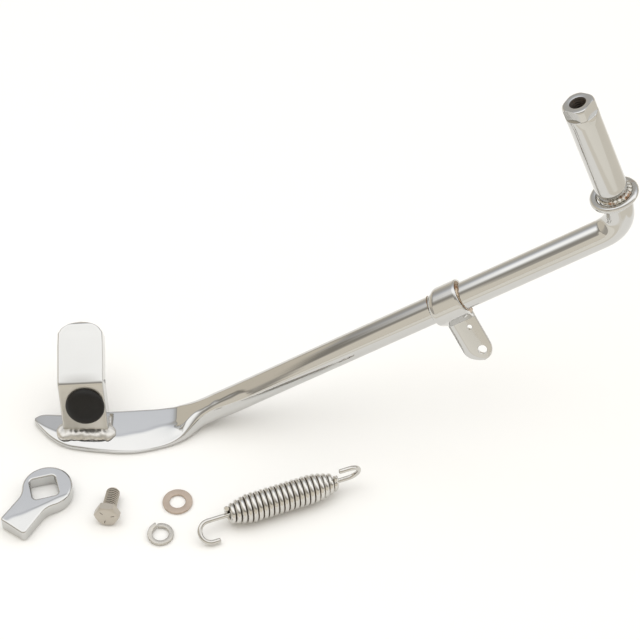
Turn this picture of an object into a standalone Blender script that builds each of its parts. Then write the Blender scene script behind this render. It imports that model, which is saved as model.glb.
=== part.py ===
"""Motorcycle kickstand with its fitting kit: metres, +Z up, everything resting on the plane z = 0.

The stand is in its deployed attitude, foot pad flat on the ground.  The leg bar rises from the pad to an
elbow, where the pivot shaft turns up out of it.  Beside the leg lie its stop cam, a hex bolt, a lock
washer, a flat washer and the return spring with two swivel hooks.  Lengths below are millimetres.
"""

from math import asin, atan2, cos, pi, radians, sin, sqrt, tan

import bmesh
import bpy
import numpy as np
from mathutils import Matrix

MM = 0.001
GAP = 0.3  # air left between pieces that touch
UP = np.array([0.0, 0.0, 1.0])
ACROSS = np.array([0.0, 1.0, 0.0])


def unit(vector):
    vector = np.asarray(vector, float)
    return vector / np.linalg.norm(vector)


# Leg bar: round stock from the elbow down to the foot, hot-pressed flat into the foot pad.
ELBOW = np.array([163.0, -68.1, 153.0])  # where the leg axis and the pivot axis meet
LEG_DIR = unit([-0.8437, -0.0377, -0.5355])  # elbow to foot
PIVOT_DIR = unit([-0.3771, 0.0782, 0.9229])  # elbow to shaft end
BAR_R = 7.9
NECK_R = 8.7
ELBOW_TANGENT = 15.0  # tangent length of the elbow bend, centreline radius 18
FOOT_TANGENT = 24.0
PAD_HALF = 2.25  # half the pad's thickness
PAD_END_X = -166.8
PAD_STATIONS = (  # x, far edge y, near edge y of the pad's outline
    (-50.0, -69.7, -85.5), (-63.0, -70.3, -86.1), (-70.0, -70.9, -88.4), (-77.5, -71.5, -94.6),
    (-85.0, -72.2, -98.4), (-95.0, -73.7, -101.7), (-104.0, -74.4, -104.0), (-114.0, -75.2, -104.7),
    (-127.0, -76.0, -103.7), (-138.0, -76.9, -102.3), (-147.0, -77.4, -100.2), (-154.0, -77.4, -96.4),
    (-160.0, -77.3, -91.0), (-164.0, -78.0, -86.3), (-166.8, -79.8, -82.7),
)

# Pivot shaft: distances along the pivot axis from the elbow.
SHAFT_BASE, SHAFT_LEDGE, SHAFT_END = 20.2, 79.6, 86.4
SHAFT_R = 8.7
UNDERCUT_R, UNDERCUT_TOP = 8.3, 25.8
DRIVE_HALF, DRIVE_CLOCK = 7.2, -15.0  # half across the flats, and how far its near corner is turned
THREAD_DRILL_R, COUNTERSINK_R, BORE_DEPTH = 3.45, 4.5, 22.0
COLLAR_BOTTOM, COLLAR_TOP, COLLAR_IN_R, COLLAR_OUT_R = 19.4, 22.8, 9.2, 13.4

# Toe tab: a thick bent bar standing on the pad, with a rubber bumper on its lower face.
TAB_CORNER = np.array([-149.0, -92.4, 6.0])  # lower left corner of its front face
TAB_WIDTH, TAB_THICK = 26.4, 12.0
TAB_ROLL, TAB_TURN, TAB_LEAN, TAB_BEND = 3.2, 0.9, 20.0, 45.0  # degrees
TAB_LOWER, TAB_UPPER, TAB_LENGTH = 31.0, 31.5, 38.1  # crease height, straight sides, rounded end
TAB_EDGE = 1.3
CREASE_R = 2.6
BUMPER_R, BUMPER_PROUD, STEM_R, STEM_LENGTH = 11.3, 5.0, 3.0, 6.0
BUMPER_ACROSS, BUMPER_UP = 14.7, 16.6

# Spring bracket: a strap wrapped round the bar and brought down as a flat tab.
STRAP_AT, STRAP_HALF = 109.0, 9.2  # along the leg, half its width
STRAP_IN_R, SHEET = 8.2, 2.2
BRACKET_TIP, BRACKET_HALF, TIP_R = 42.4, 8.5, 8.5
SMALL_HOLE_AT, SMALL_HOLE_R, BIG_HOLE_AT, BIG_HOLE_R = 21.0, 1.45, 36.2, 2.6
BRACKET_DIR = np.array([0.4959, -0.4365, -0.7506])

# Stop cam, lying flat: a round head with a square hole and a short tail.
CAM_CENTRE, CAM_HEAD_R, CAM_THICK, CAM_TURN = np.array([-154.4, -133.8, 0.0]), 14.3, 8.8, -121.1
TAIL_LEFT, TAIL_RIGHT, TAIL_END_LEFT, TAIL_END_RIGHT, NECK_FILLET = 8.4, 9.1, 33.2, 32.6, 13.0
CAM_HOLE_HALF, CAM_HOLE_CORNER, CAM_HOLE_TURN, CAM_CHAMFER = 7.3, 2.4, 46.6, 0.8
CAM_HOLE_AT = (1.4, -1.2)

# Fasteners of the pivot: 5/16-18 screw, its split lock washer and a flat washer.
BOLT_FACE = np.array([-119.6, -154.9, 7.05])  # centre of the head's outer face
BOLT_AZIMUTH, BOLT_DIP = 83.0, 8.5
HEX_HALF, HEX_HEIGHT, BOLT_LENGTH = 6.35, 5.2, 21.1
THREAD_R, THREAD_ROOT_R, THREAD_PITCH = 3.95, 3.3, 1.411
LOCK_CENTRE, LOCK_IN_R, LOCK_OUT_R, LOCK_THICK = np.array([-89.1, -162.1, 0.0]), 4.6, 7.3, 2.0
LOCK_SPLIT, LOCK_RISE, LOCK_SLOT = 112.0, 1.6, 8.0  # split's azimuth, end's rise, slot width in degrees
FLAT_CENTRE, FLAT_IN_R, FLAT_OUT_R, FLAT_THICK = np.array([-80.7, -139.2, 0.0]), 4.6, 8.5, 1.4

# Return spring: a close-wound coil with coned ends that hold the heads of two swivel hooks.
WIRE_R, COIL_R, CONE_R = 1.5, 7.1, 3.45
COIL_START, COIL_AZIMUTH, COIL_LENGTH = np.array([-53.2, -154.8, 8.45]), 21.1, 67.6
COIL_TURNS, CONE_TURNS, COIL_CLOCK, STUB_TURN, STUB_RISE = 21.0, 4.5, 90.0, 0.09, 2.2
HOOK_R, HOOK_HEAD_R, HOOK_HEAD_IN = 1.4, 3.4, 13.5
HOOK_SHANK, HOOK_SPAN, HOOK_PUSHED = 10.2, 12.2, 4.0  # the right hook sits pushed in
LEFT_SWIVEL, RIGHT_SWIVEL = -30.0, 77.0  # degrees above the horizontal, on the near side
LEFT_TIP, RIGHT_TIP = 3.2, 5.6  # straight ends past the hooks' bends


def slot_material(name, colour, metallic, roughness):
    material = bpy.data.materials.new(name)
    material.use_nodes = True
    shader = material.node_tree.nodes["Principled BSDF"]
    shader.inputs["Base Color"].default_value = (*colour, 1.0)
    shader.inputs["Metallic"].default_value = metallic
    shader.inputs["Roughness"].default_value = roughness
    return material


FINISH = {
    "chrome": ((0.86, 0.86, 0.85), 1.0, 0.06),
    "weld": ((0.62, 0.58, 0.52), 1.0, 0.22),
    "zinc": ((0.62, 0.59, 0.54), 1.0, 0.3),
    "plated_brown": ((0.56, 0.48, 0.40), 1.0, 0.42),
    "spring_steel": ((0.74, 0.73, 0.72), 1.0, 0.14),
    "rubber": ((0.02, 0.02, 0.02), 0.0, 0.6),
}


def add_object(name, mesh_data, finish, origin):
    """Turn a bmesh in millimetres into a named object whose origin sits at the given point."""
    bmesh.ops.recalc_face_normals(mesh_data, faces=mesh_data.faces)
    bmesh.ops.transform(
        mesh_data, matrix=Matrix.Scale(MM, 4) @ Matrix.Translation(-np.asarray(origin, float)),
        verts=mesh_data.verts,
    )
    mesh = bpy.data.meshes.new(name)
    mesh_data.to_mesh(mesh)
    mesh_data.free()
    thing = bpy.data.objects.new(name, mesh)
    bpy.context.scene.collection.objects.link(thing)
    thing.location = np.asarray(origin, float) * MM
    thing.data.materials.append(slot_material(name, *FINISH[finish]))
    mesh.shade_smooth()
    mesh.set_sharp_from_angle(angle=radians(38))
    return thing


def cut(target, mesh_data, operation="DIFFERENCE"):
    """Shape an object with a hidden tool body, given in millimetres in the object's own place."""
    tool = add_object(f"cut_{target.name}_{len(target.modifiers)}", mesh_data, "rubber", (0, 0, 0))
    tool.hide_render = True
    tool.display_type = "WIRE"
    step = target.modifiers.new("cut", "BOOLEAN")
    step.operation, step.solver, step.object = operation, "EXACT", tool


def loft(rings, joined=False):
    """Skin a row of equal rings; the row is capped at both ends, or joined end to end."""
    body = bmesh.new()
    loops = [[body.verts.new(tuple(map(float, p))) for p in ring] for ring in rings]
    pairs = list(zip(loops, loops[1:])) + ([(loops[-1], loops[0])] if joined else [])
    for one, two in pairs:
        for i in range(len(one)):
            j = (i + 1) % len(one)
            body.faces.new((one[i], one[j], two[j], two[i]))
    if not joined:
        body.faces.new(loops[0])
        body.faces.new(loops[-1])
    return body


def rounded_section(half_w, half_t, radius, per_corner):
    """Outline of a rounded rectangle; a circle when all three sizes are equal."""
    points = []
    for corner, (sx, sy) in enumerate(((1, 1), (-1, 1), (-1, -1), (1, -1))):
        for i in range(per_corner):
            a = radians(90 * (corner + (i + 0.5) / per_corner))
            points.append((sx * (half_w - radius) + radius * cos(a), sy * (half_t - radius) + radius * sin(a)))
    return points


def section_ring(centre, across, through, half_w, half_t, radius, per_corner=6):
    outline = rounded_section(half_w, half_t, min(radius, half_w, half_t), per_corner)
    return [centre + across * x + through * y for x, y in outline]


def path_ring(centre, tangent, reference, radius, per_corner=2):
    """Round ring square to a path, its start turned to the reference direction."""
    across = unit(reference - np.dot(reference, tangent) * tangent)
    return section_ring(centre, across, np.cross(tangent, across), radius, radius, radius, per_corner)


def axis_pair(axis):
    """Two unit directions square to an axis."""
    side = unit(np.cross(axis, UP)) if abs(axis[2]) < 0.99 else np.array([1.0, 0.0, 0.0])
    return side, np.cross(axis, side)


def turned(base, axis, profile, segments, joined=False):
    """Body turned about an axis from (radius, height) pairs; a ring when the profile is joined."""
    side, other = axis_pair(axis)
    rings = []
    for radius, height in profile:
        turns = (2 * pi * i / segments for i in range(segments))
        rings.append([base + axis * height + radius * (side * cos(a) + other * sin(a)) for a in turns])
    return loft(rings, joined)


def ring_profile(inner, outer, bottom, top, edge, steps):
    """Washer section with rounded edges, as a joined profile."""
    points = []
    for corner, (r, h) in enumerate(((outer - edge, top - edge), (inner + edge, top - edge),
                                     (inner + edge, bottom + edge), (outer - edge, bottom + edge))):
        for i in range(steps + 1):
            a = radians(90 * (corner + i / steps))
            points.append((r + edge * cos(a), h + edge * sin(a)))
    return points


def prism(outline, origin, x_dir, y_dir, low, high, edge=0.0):
    """Straight body from a 2-D outline between two heights, its rims broken by a small edge."""
    z_dir = np.cross(x_dir, y_dir)
    points = np.asarray(outline, float)
    step = np.roll(points, -1, axis=0) - np.roll(points, 1, axis=0)
    outward = np.column_stack([step[:, 1], -step[:, 0]]) / np.linalg.norm(step, axis=1)[:, None]
    levels = [(0.0, low), (0.0, high)]
    if edge:
        levels = [(edge, low), (edge * 0.3, low + edge * 0.3), (0.0, low + edge),
                  (0.0, high - edge), (edge * 0.3, high - edge * 0.3), (edge, high)]
    return loft([[origin + x_dir * p[0] + y_dir * p[1] + z_dir * h for p in points - outward * inset]
                 for inset, h in levels])


def bead(path, outward, upward, widths, heights, joined):
    """Weld bead with a bulged three-cornered section, laid along a path."""
    section = ((0.0, 0.0), (1.0, 0.0), (0.93, 0.42), (0.68, 0.74), (0.36, 0.93), (0.0, 1.0))
    rings = [[p + o * w * x + u * h * y for x, y in section]
             for p, o, u, w, h in zip(path, outward, upward, widths, heights)]
    return loft(rings, joined)


def bend(corner, into, out, tangent_length, steps):
    """Points and tangents of a circular bend that rounds a corner between two directions."""
    turn = pi - atan2(np.linalg.norm(np.cross(-into, out)), np.dot(-into, out))
    radius = tangent_length / tan(turn / 2)
    start = corner - into * tangent_length
    inward = unit(out - np.dot(out, into) * into)
    centre = start + inward * radius
    angles = [turn * i / steps for i in range(steps + 1)]
    return [(centre - inward * radius * cos(a) + into * radius * sin(a), into * cos(a) + inward * sin(a))
            for a in angles]


def smooth_value(x, xs, ys):
    """Cubic interpolation through stations that run in falling x."""
    xs, ys = np.asarray(xs)[::-1], np.asarray(ys)[::-1]
    slopes = np.gradient(ys, xs)
    i = int(np.clip(np.searchsorted(xs, x) - 1, 0, len(xs) - 2))
    span = xs[i + 1] - xs[i]
    t = float(np.clip((x - xs[i]) / span, 0.0, 1.0))
    return ((1 + 2 * t) * (1 - t) ** 2 * ys[i] + t * (1 - t) ** 2 * span * slopes[i]
            + t * t * (3 - 2 * t) * ys[i + 1] + t * t * (t - 1) * span * slopes[i + 1])


def make_leg_bar():
    path = [(ELBOW + PIVOT_DIR * t, -PIVOT_DIR, r) for t, r in
            ((SHAFT_BASE - GAP, NECK_R), (COLLAR_BOTTOM - 0.8, NECK_R), (COLLAR_BOTTOM - 2.0, 8.3))]
    path += [(p, t, BAR_R) for p, t in bend(ELBOW, -PIVOT_DIR, LEG_DIR, ELBOW_TANGENT, 9)]
    reach = (ELBOW[2] - PAD_HALF) / -LEG_DIR[2]
    path += [(ELBOW + LEG_DIR * k, LEG_DIR, BAR_R) for k in (70.0, 130.0, 190.0, 225.0, 243.0)]
    foot = ELBOW + LEG_DIR * reach
    pad_dir = np.array([-1.0, 0.0, 0.0])
    path += [(p, t, BAR_R) for p, t in bend(foot, LEG_DIR, pad_dir, FOOT_TANGENT, 8)]
    last_x = path[-1][0][0]
    for x in (-104, -110, -116, -122, -128, -134, -140, -145, -150, -154.5, -158.5, -162, -164.5, -165.8):
        if x < last_x - 2:
            path.append((np.array([float(x), foot[1], PAD_HALF]), pad_dir, BAR_R))
    path.append((np.array([PAD_END_X, foot[1], PAD_HALF]), pad_dir, BAR_R))
    xs, far, near = zip(*PAD_STATIONS)
    rings = []
    for centre, tangent, radius in path:
        across = unit(ACROSS - np.dot(ACROSS, tangent) * tangent)
        through = np.cross(tangent, across)
        half_w = half_t = corner = radius
        if centre[0] < xs[0]:
            far_y, near_y = smooth_value(centre[0], xs, far), smooth_value(centre[0], xs, near)
            half_w, middle = (far_y - near_y) / 2, (far_y + near_y) / 2
            centre = np.array([centre[0], middle, centre[2]])
            clear = centre[2] / sqrt(1 - tangent[2] ** 2)
            half_t = (BAR_R ** -6 + clear ** -6) ** (-1 / 6)
            half_t *= min(1.0, 0.55 + 0.45 * sqrt(max(0.0, (centre[0] - PAD_END_X) / 6.0)))
            corner = half_t * (0.82 + 0.18 * min(1.0, (half_t - PAD_HALF) / 3) if half_t > PAD_HALF else 0.82)
        rings.append(section_ring(centre, across, through, half_w, half_t, corner))
    add_object("leg_bar", loft(rings), "chrome", ELBOW)


def make_pivot_shaft():
    profile = [(UNDERCUT_R, SHAFT_BASE), (UNDERCUT_R, UNDERCUT_TOP - 0.6), (SHAFT_R, UNDERCUT_TOP),
               (SHAFT_R, SHAFT_LEDGE), (SHAFT_R, SHAFT_END - 1.9), (SHAFT_R - 0.4, SHAFT_END - 0.8),
               (SHAFT_R - 1.3, SHAFT_END)]
    shaft = add_object("pivot_shaft", turned(ELBOW, PIVOT_DIR, profile, 40), "chrome", ELBOW)
    # The square drive: everything outside the square is taken off above the ledge.
    near = unit(np.array([0.0, -0.67, 0.74]) - 0.633 * PIVOT_DIR)
    clock = radians(DRIVE_CLOCK + 45)
    side = near * cos(clock) + np.cross(PIVOT_DIR, near) * sin(clock)
    other = np.cross(PIVOT_DIR, side)
    square = [(1, 1), (-1, 1), (-1, -1), (1, -1)]
    low, high = ELBOW + PIVOT_DIR * SHAFT_LEDGE, ELBOW + PIVOT_DIR * (SHAFT_END + 4)
    rings = [[base + (side * x + other * y) * size for x, y in square]
             for base, size in ((low, DRIVE_HALF), (low, 15.0), (high, 15.0), (high, DRIVE_HALF))]
    cut(shaft, loft(rings, joined=True))
    bore = [(0.4, SHAFT_END - BORE_DEPTH - 2), (THREAD_DRILL_R, SHAFT_END - BORE_DEPTH),
            (THREAD_DRILL_R, SHAFT_END - COUNTERSINK_R + THREAD_DRILL_R), (COUNTERSINK_R, SHAFT_END),
            (COUNTERSINK_R + 1, SHAFT_END + 1)]
    cut(shaft, turned(ELBOW, PIVOT_DIR, bore, 24))
    return shaft


def make_collar():
    ring = ring_profile(COLLAR_IN_R, COLLAR_OUT_R, COLLAR_BOTTOM, COLLAR_TOP, 1.5, 4)
    add_object("shaft_collar", turned(ELBOW, PIVOT_DIR, ring, 36, joined=True), "chrome", ELBOW)
    side, other = axis_pair(PIVOT_DIR)
    count = 54
    turns = [2 * pi * i / count for i in range(count)]
    outward = [side * cos(a) + other * sin(a) for a in turns]
    base = ELBOW + PIVOT_DIR * (COLLAR_TOP + GAP)
    path = [base + o * (UNDERCUT_R + GAP) for o in outward]
    ripple = [1.0 + 0.13 * cos(3.0 * a * 6) for a in turns]
    add_object("collar_weld", bead(path, outward, [PIVOT_DIR] * count, [1.75 * r for r in ripple],
                                   [1.6 * r for r in ripple], True), "weld", ELBOW)


def tab_frame():
    roll, heading, lean = radians(TAB_ROLL), radians(TAB_TURN), radians(TAB_LEAN)
    across = np.array([cos(roll) * cos(heading), cos(roll) * sin(heading), sin(roll)])
    lower = unit(np.array([0, sin(lean), cos(lean)]) - np.dot([0, sin(lean), cos(lean)], across) * across)
    front = np.cross(across, lower)
    fold = radians(TAB_BEND)
    upper = lower * cos(fold) - front * sin(fold)
    return across, lower, front, upper, front * cos(fold) + lower * sin(fold)


def make_toe_tab():
    across, lower, front, upper, upper_front = tab_frame()
    half = TAB_THICK / 2
    middle = TAB_CORNER + across * TAB_WIDTH / 2
    crease = middle + lower * TAB_LOWER
    # Base ring, carried down the tab's own slope to just above the pad.
    base = section_ring(middle - front * half, across, front, TAB_WIDTH / 2, half, TAB_EDGE, 4)
    pad_top = 2 * PAD_HALF + GAP
    rings = [[p + lower * (pad_top - p[2]) / lower[2] for p in base]]
    fold = radians(TAB_BEND)
    back_corner = crease - (front + upper_front) / np.linalg.norm(front + upper_front) * TAB_THICK / cos(fold / 2)
    front_arc = bend(crease, lower, upper, CREASE_R * tan(fold / 2), 4)
    back_arc = bend(back_corner, lower, upper, 1.0 * tan(fold / 2), 4)
    for (f, _), (b, _) in zip(front_arc, back_arc):
        rings.append(section_ring((f + b) / 2, across, unit(f - b), TAB_WIDTH / 2,
                                  np.linalg.norm(f - b) / 2, TAB_EDGE, 4))
    rise = TAB_LENGTH - TAB_UPPER
    end_r = ((TAB_WIDTH / 2) ** 2 + rise ** 2) / (2 * rise)
    for share in (0.0, 0.22, 0.45, 0.65, 0.8, 0.91, 0.975, 1.0):
        along = TAB_UPPER - 1.5 + (rise + 1.5) * share
        past = max(0.0, along - TAB_UPPER)
        half_w = sqrt(max(end_r ** 2 - (end_r - rise + past) ** 2, 2.2 ** 2))
        rounding = 1.5 * max(0.0, 1 - (TAB_UPPER + rise - along) / 5.0) ** 2
        centre = crease + upper * along - upper_front * half
        rings.append(section_ring(centre, across, upper_front, min(half_w, TAB_WIDTH / 2 - 0.35 * (share > 0)),
                                  half - rounding, TAB_EDGE + rounding, 4))
    tab = add_object("toe_tab", loft(rings), "chrome", crease)

    seat = TAB_CORNER + across * BUMPER_ACROSS + lower * BUMPER_UP
    cut(tab, turned(seat, front, [(STEM_R + GAP, 2.0), (STEM_R + GAP, -STEM_LENGTH - 1.0)], 20))
    bumper = [(STEM_R * 0.7, -STEM_LENGTH), (STEM_R, -STEM_LENGTH + 1), (STEM_R, GAP), (BUMPER_R - 0.4, GAP),
              (BUMPER_R, GAP + 0.5), (BUMPER_R, BUMPER_PROUD - 2.2), (BUMPER_R - 0.6, BUMPER_PROUD - 1.3),
              (BUMPER_R - 2.0, BUMPER_PROUD - 0.6), (BUMPER_R - 5.5, BUMPER_PROUD - 0.1), (1.5, BUMPER_PROUD)]
    add_object("bumper", turned(seat, front, bumper, 36), "rubber", seat)

    # The fillet weld runs round the tab's foot, wide at the front and thin behind.
    outline = rings[0]
    path, outward = [], []
    count = 66
    ends = outline + outline[:1]
    lengths = np.cumsum([0.0] + [np.linalg.norm(b - a) for a, b in zip(ends, ends[1:])])
    heart = sum(outline) / len(outline)
    for i in range(count):
        d = lengths[-1] * i / count
        k = int(np.searchsorted(lengths, d, side="right") - 1)
        one, two = ends[k], ends[k + 1]
        point = one + (two - one) * (d - lengths[k]) / (lengths[k + 1] - lengths[k])
        away = point - heart
        corner_pull = unit(np.array([away[0] / 1.9, away[1], 0.0]))
        normal = unit(np.cross(two - one, UP))
        if np.dot(normal, away) < 0:
            normal = -normal
        blend = unit(normal + 0.45 * corner_pull)
        outward.append(blend)
        path.append(point + normal * GAP + UP * 0.02)
    widths = [(3.3 + 1.9 * max(0.0, -o[1]) - 2.2 * max(0.0, o[1])) * (1 + 0.09 * cos(pi * i))
              for i, o in enumerate(outward)]
    heights = [(3.6 - 1.6 * max(0.0, o[1])) * (1 + 0.07 * cos(pi * i)) for i, o in enumerate(outward)]
    add_object("toe_tab_weld", bead(path, outward, [lower] * count, widths, heights, True), "weld", heart)


def bracket_frame():
    along = LEG_DIR
    down = unit(BRACKET_DIR - np.dot(BRACKET_DIR, along) * along)
    facing = np.cross(down, along)
    return along, down, facing if facing[1] < 0 else -facing


def make_bracket():
    along, down, facing = bracket_frame()
    centre = ELBOW + along * STRAP_AT
    inner, outer = STRAP_IN_R, STRAP_IN_R + SHEET
    # Section of the strap: round the bar from the tab's root, over the top and back under to the tab.
    close = -asin((STRAP_IN_R - 0.1) / outer)
    arc = np.linspace(radians(270), close, 23)
    outside = [(outer * cos(a), outer * sin(a)) for a in arc]
    inside = [(inner * cos(a), inner * sin(a)) for a in arc[::-1]]
    section = [(BRACKET_TIP, -outer)] + outside + inside + [(BRACKET_TIP, -inner)]
    body = loft([[centre + down * q + facing * h + along * d for q, h in section]
                 for d in (-STRAP_HALF, STRAP_HALF)])
    bracket = add_object("spring_bracket", body, "chrome", centre)
    tip_at = BRACKET_TIP - TIP_R
    outline = [(-14.0, -STRAP_HALF - 1), (11.0, -STRAP_HALF - 1), (14.5, -BRACKET_HALF)]
    outline += [(tip_at + TIP_R * cos(a), TIP_R * sin(a)) for a in np.linspace(-pi / 2, pi / 2, 17)]
    outline += [(14.5, BRACKET_HALF), (11.0, STRAP_HALF + 1), (-14.0, STRAP_HALF + 1)]
    cut(bracket, prism(outline, centre, down, along, -15.0, 15.0), "INTERSECT")
    for at, radius in ((SMALL_HOLE_AT, SMALL_HOLE_R), (BIG_HOLE_AT, BIG_HOLE_R)):
        hole = [(radius, -outer - 2.0), (radius, -inner + 2.0)]
        cut(bracket, turned(centre + down * at - along * 0.8, facing, hole, 20))

    for name, sign in (("bracket_braze_left", 1), ("bracket_braze_right", -1)):
        count = 29
        turns = [radians(-15 + 215 * i / (count - 1)) for i in range(count)]
        outward = [down * cos(a) + facing * sin(a) for a in turns]
        base = centre + along * sign * (STRAP_HALF + GAP)
        taper = [min(1.0, 0.35 + 0.25 * min(i, count - 1 - i)) for i in range(count)]
        path = [base + o * (BAR_R + GAP) for o in outward]
        add_object(name, bead(path, [along * sign] * count, outward, [1.5 * t for t in taper],
                              [1.5 * t * (1 + 0.1 * cos(pi * i)) for i, t in enumerate(taper)], False),
                   "weld", base)


def make_cam():
    turn = radians(CAM_TURN)
    x_dir, y_dir = np.array([cos(turn), sin(turn), 0.0]), np.array([-sin(turn), cos(turn), 0.0])
    sides = []
    for half in (TAIL_RIGHT, TAIL_LEFT):
        at = sqrt((CAM_HEAD_R + NECK_FILLET) ** 2 - (half + NECK_FILLET) ** 2)
        touch = atan2(half + NECK_FILLET, at)
        sides.append((half, at, touch))
    (right, right_at, right_touch), (left, left_at, left_touch) = sides
    outline = [(CAM_HEAD_R * cos(a), CAM_HEAD_R * sin(a))
               for a in np.linspace(left_touch, 2 * pi - right_touch, 30)]
    outline += [(right_at + NECK_FILLET * cos(a), -right - NECK_FILLET + NECK_FILLET * sin(a))
                for a in np.linspace(pi - right_touch, pi / 2, 6)[1:]]
    r = 2.2
    outline += [(TAIL_END_RIGHT - r + r * sin(a), -right + r - r * cos(a)) for a in np.linspace(0, pi / 2, 5)]
    outline += [(TAIL_END_LEFT - r + r * cos(a), left - r + r * sin(a)) for a in np.linspace(0, pi / 2, 5)]
    outline += [(left_at + NECK_FILLET * cos(a), left + NECK_FILLET - NECK_FILLET * sin(a))
                for a in np.linspace(pi / 2, pi - left_touch, 6)[:-1]]
    y_dir = -y_dir
    flipped = [(x, -y) for x, y in outline]
    cam = add_object("leg_stop_cam", prism(flipped, CAM_CENTRE, x_dir, -y_dir, 0.0, CAM_THICK, 0.9),
                     "chrome", CAM_CENTRE)
    hole_x = x_dir * cos(radians(CAM_HOLE_TURN)) - y_dir * sin(radians(CAM_HOLE_TURN))
    hole_y = np.cross(UP, hole_x)
    middle = CAM_CENTRE + x_dir * CAM_HOLE_AT[0] - y_dir * CAM_HOLE_AT[1]
    rings = []
    for height, grow in ((-1.0, CAM_CHAMFER * 0.5), (0.0, CAM_CHAMFER * 0.4), (CAM_CHAMFER * 0.4, 0.0),
                         (CAM_THICK - CAM_CHAMFER, 0.0), (CAM_THICK, CAM_CHAMFER), (CAM_THICK + 1, CAM_CHAMFER)):
        size = CAM_HOLE_HALF + grow
        rings.append(section_ring(middle + UP * height, hole_x, hole_y, size, size, CAM_HOLE_CORNER + grow, 4))
    cut(cam, loft(rings))


def make_bolt():
    azimuth, dip = radians(BOLT_AZIMUTH), radians(BOLT_DIP)
    axis = np.array([cos(azimuth) * cos(dip), sin(azimuth) * cos(dip), -sin(dip)])
    side = unit(np.cross(axis, UP))
    other = np.cross(axis, side)
    corner = HEX_HALF / cos(pi / 6)

    def hex_point(i, count, radius_limit):
        a = 2 * pi * (i + 0.5) / count
        flat = (a + pi / 6) % (pi / 3) - pi / 6
        return a, min(radius_limit, HEX_HALF / cos(flat))

    segments = 18
    rings = []
    for height, limit in ((0.0, 5.9), (0.25, HEX_HALF + 0.05), (0.85, corner), (HEX_HEIGHT - 0.3, corner),
                          (HEX_HEIGHT, HEX_HALF)):
        ring = []
        for i in range(segments):
            a, r = hex_point(i, segments, limit)
            ring.append(BOLT_FACE + axis * height + r * (side * sin(a) + other * cos(a)))
        rings.append(ring)
    steps = int((BOLT_LENGTH - HEX_HEIGHT - 0.6) / (THREAD_PITCH / 4))
    for k in range(steps + 1):
        height = HEX_HEIGHT + 0.001 + (BOLT_LENGTH - HEX_HEIGHT - 0.6) * k / steps
        ring = []
        for i in range(segments):
            a = 2 * pi * (i + 0.5) / segments
            phase = ((height - HEX_HEIGHT) / THREAD_PITCH + a / (2 * pi)) % 1.0
            depth = 1 - abs(2 * phase - 1)
            fade = min(1.0, k / 3, 0.35 + (steps - k) / 4)
            r = THREAD_R - (THREAD_R - THREAD_ROOT_R) * max(0.0, depth * 1.25 - 0.12) * fade
            r = max(THREAD_ROOT_R, r) - (0.35 if k == steps else 0.0)
            ring.append(BOLT_FACE + axis * height + r * (side * sin(a) + other * cos(a)))
        rings.append(ring)
    rings.append([BOLT_FACE + axis * BOLT_LENGTH + (p - BOLT_FACE - axis * np.dot(p - BOLT_FACE, axis)) * 0.82
                  for p in rings[-1]])
    add_object("hex_bolt", loft(rings), "zinc", BOLT_FACE + axis * HEX_HEIGHT)


def make_washers():
    mid_r, half_w = (LOCK_IN_R + LOCK_OUT_R) / 2, (LOCK_OUT_R - LOCK_IN_R) / 2
    rings = []
    count = 40
    for i in range(count + 1):
        share = i / count
        a = radians(LOCK_SPLIT + LOCK_SLOT / 2 + (360 - LOCK_SLOT) * share)
        out = np.array([cos(a), sin(a), 0.0])
        rise = LOCK_RISE * max(0.0, 1 - share * 2.2) ** 2
        rings.append(section_ring(LOCK_CENTRE + out * mid_r + UP * (LOCK_THICK / 2 + rise), out, UP,
                                  half_w, LOCK_THICK / 2, 0.35, 2))
    add_object("lock_washer", loft(rings), "zinc", LOCK_CENTRE)
    ring = ring_profile(FLAT_IN_R, FLAT_OUT_R, 0.0, FLAT_THICK, 0.3, 1)
    add_object("flat_washer", turned(FLAT_CENTRE, UP, ring, 36, joined=True), "plated_brown", FLAT_CENTRE)


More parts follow.
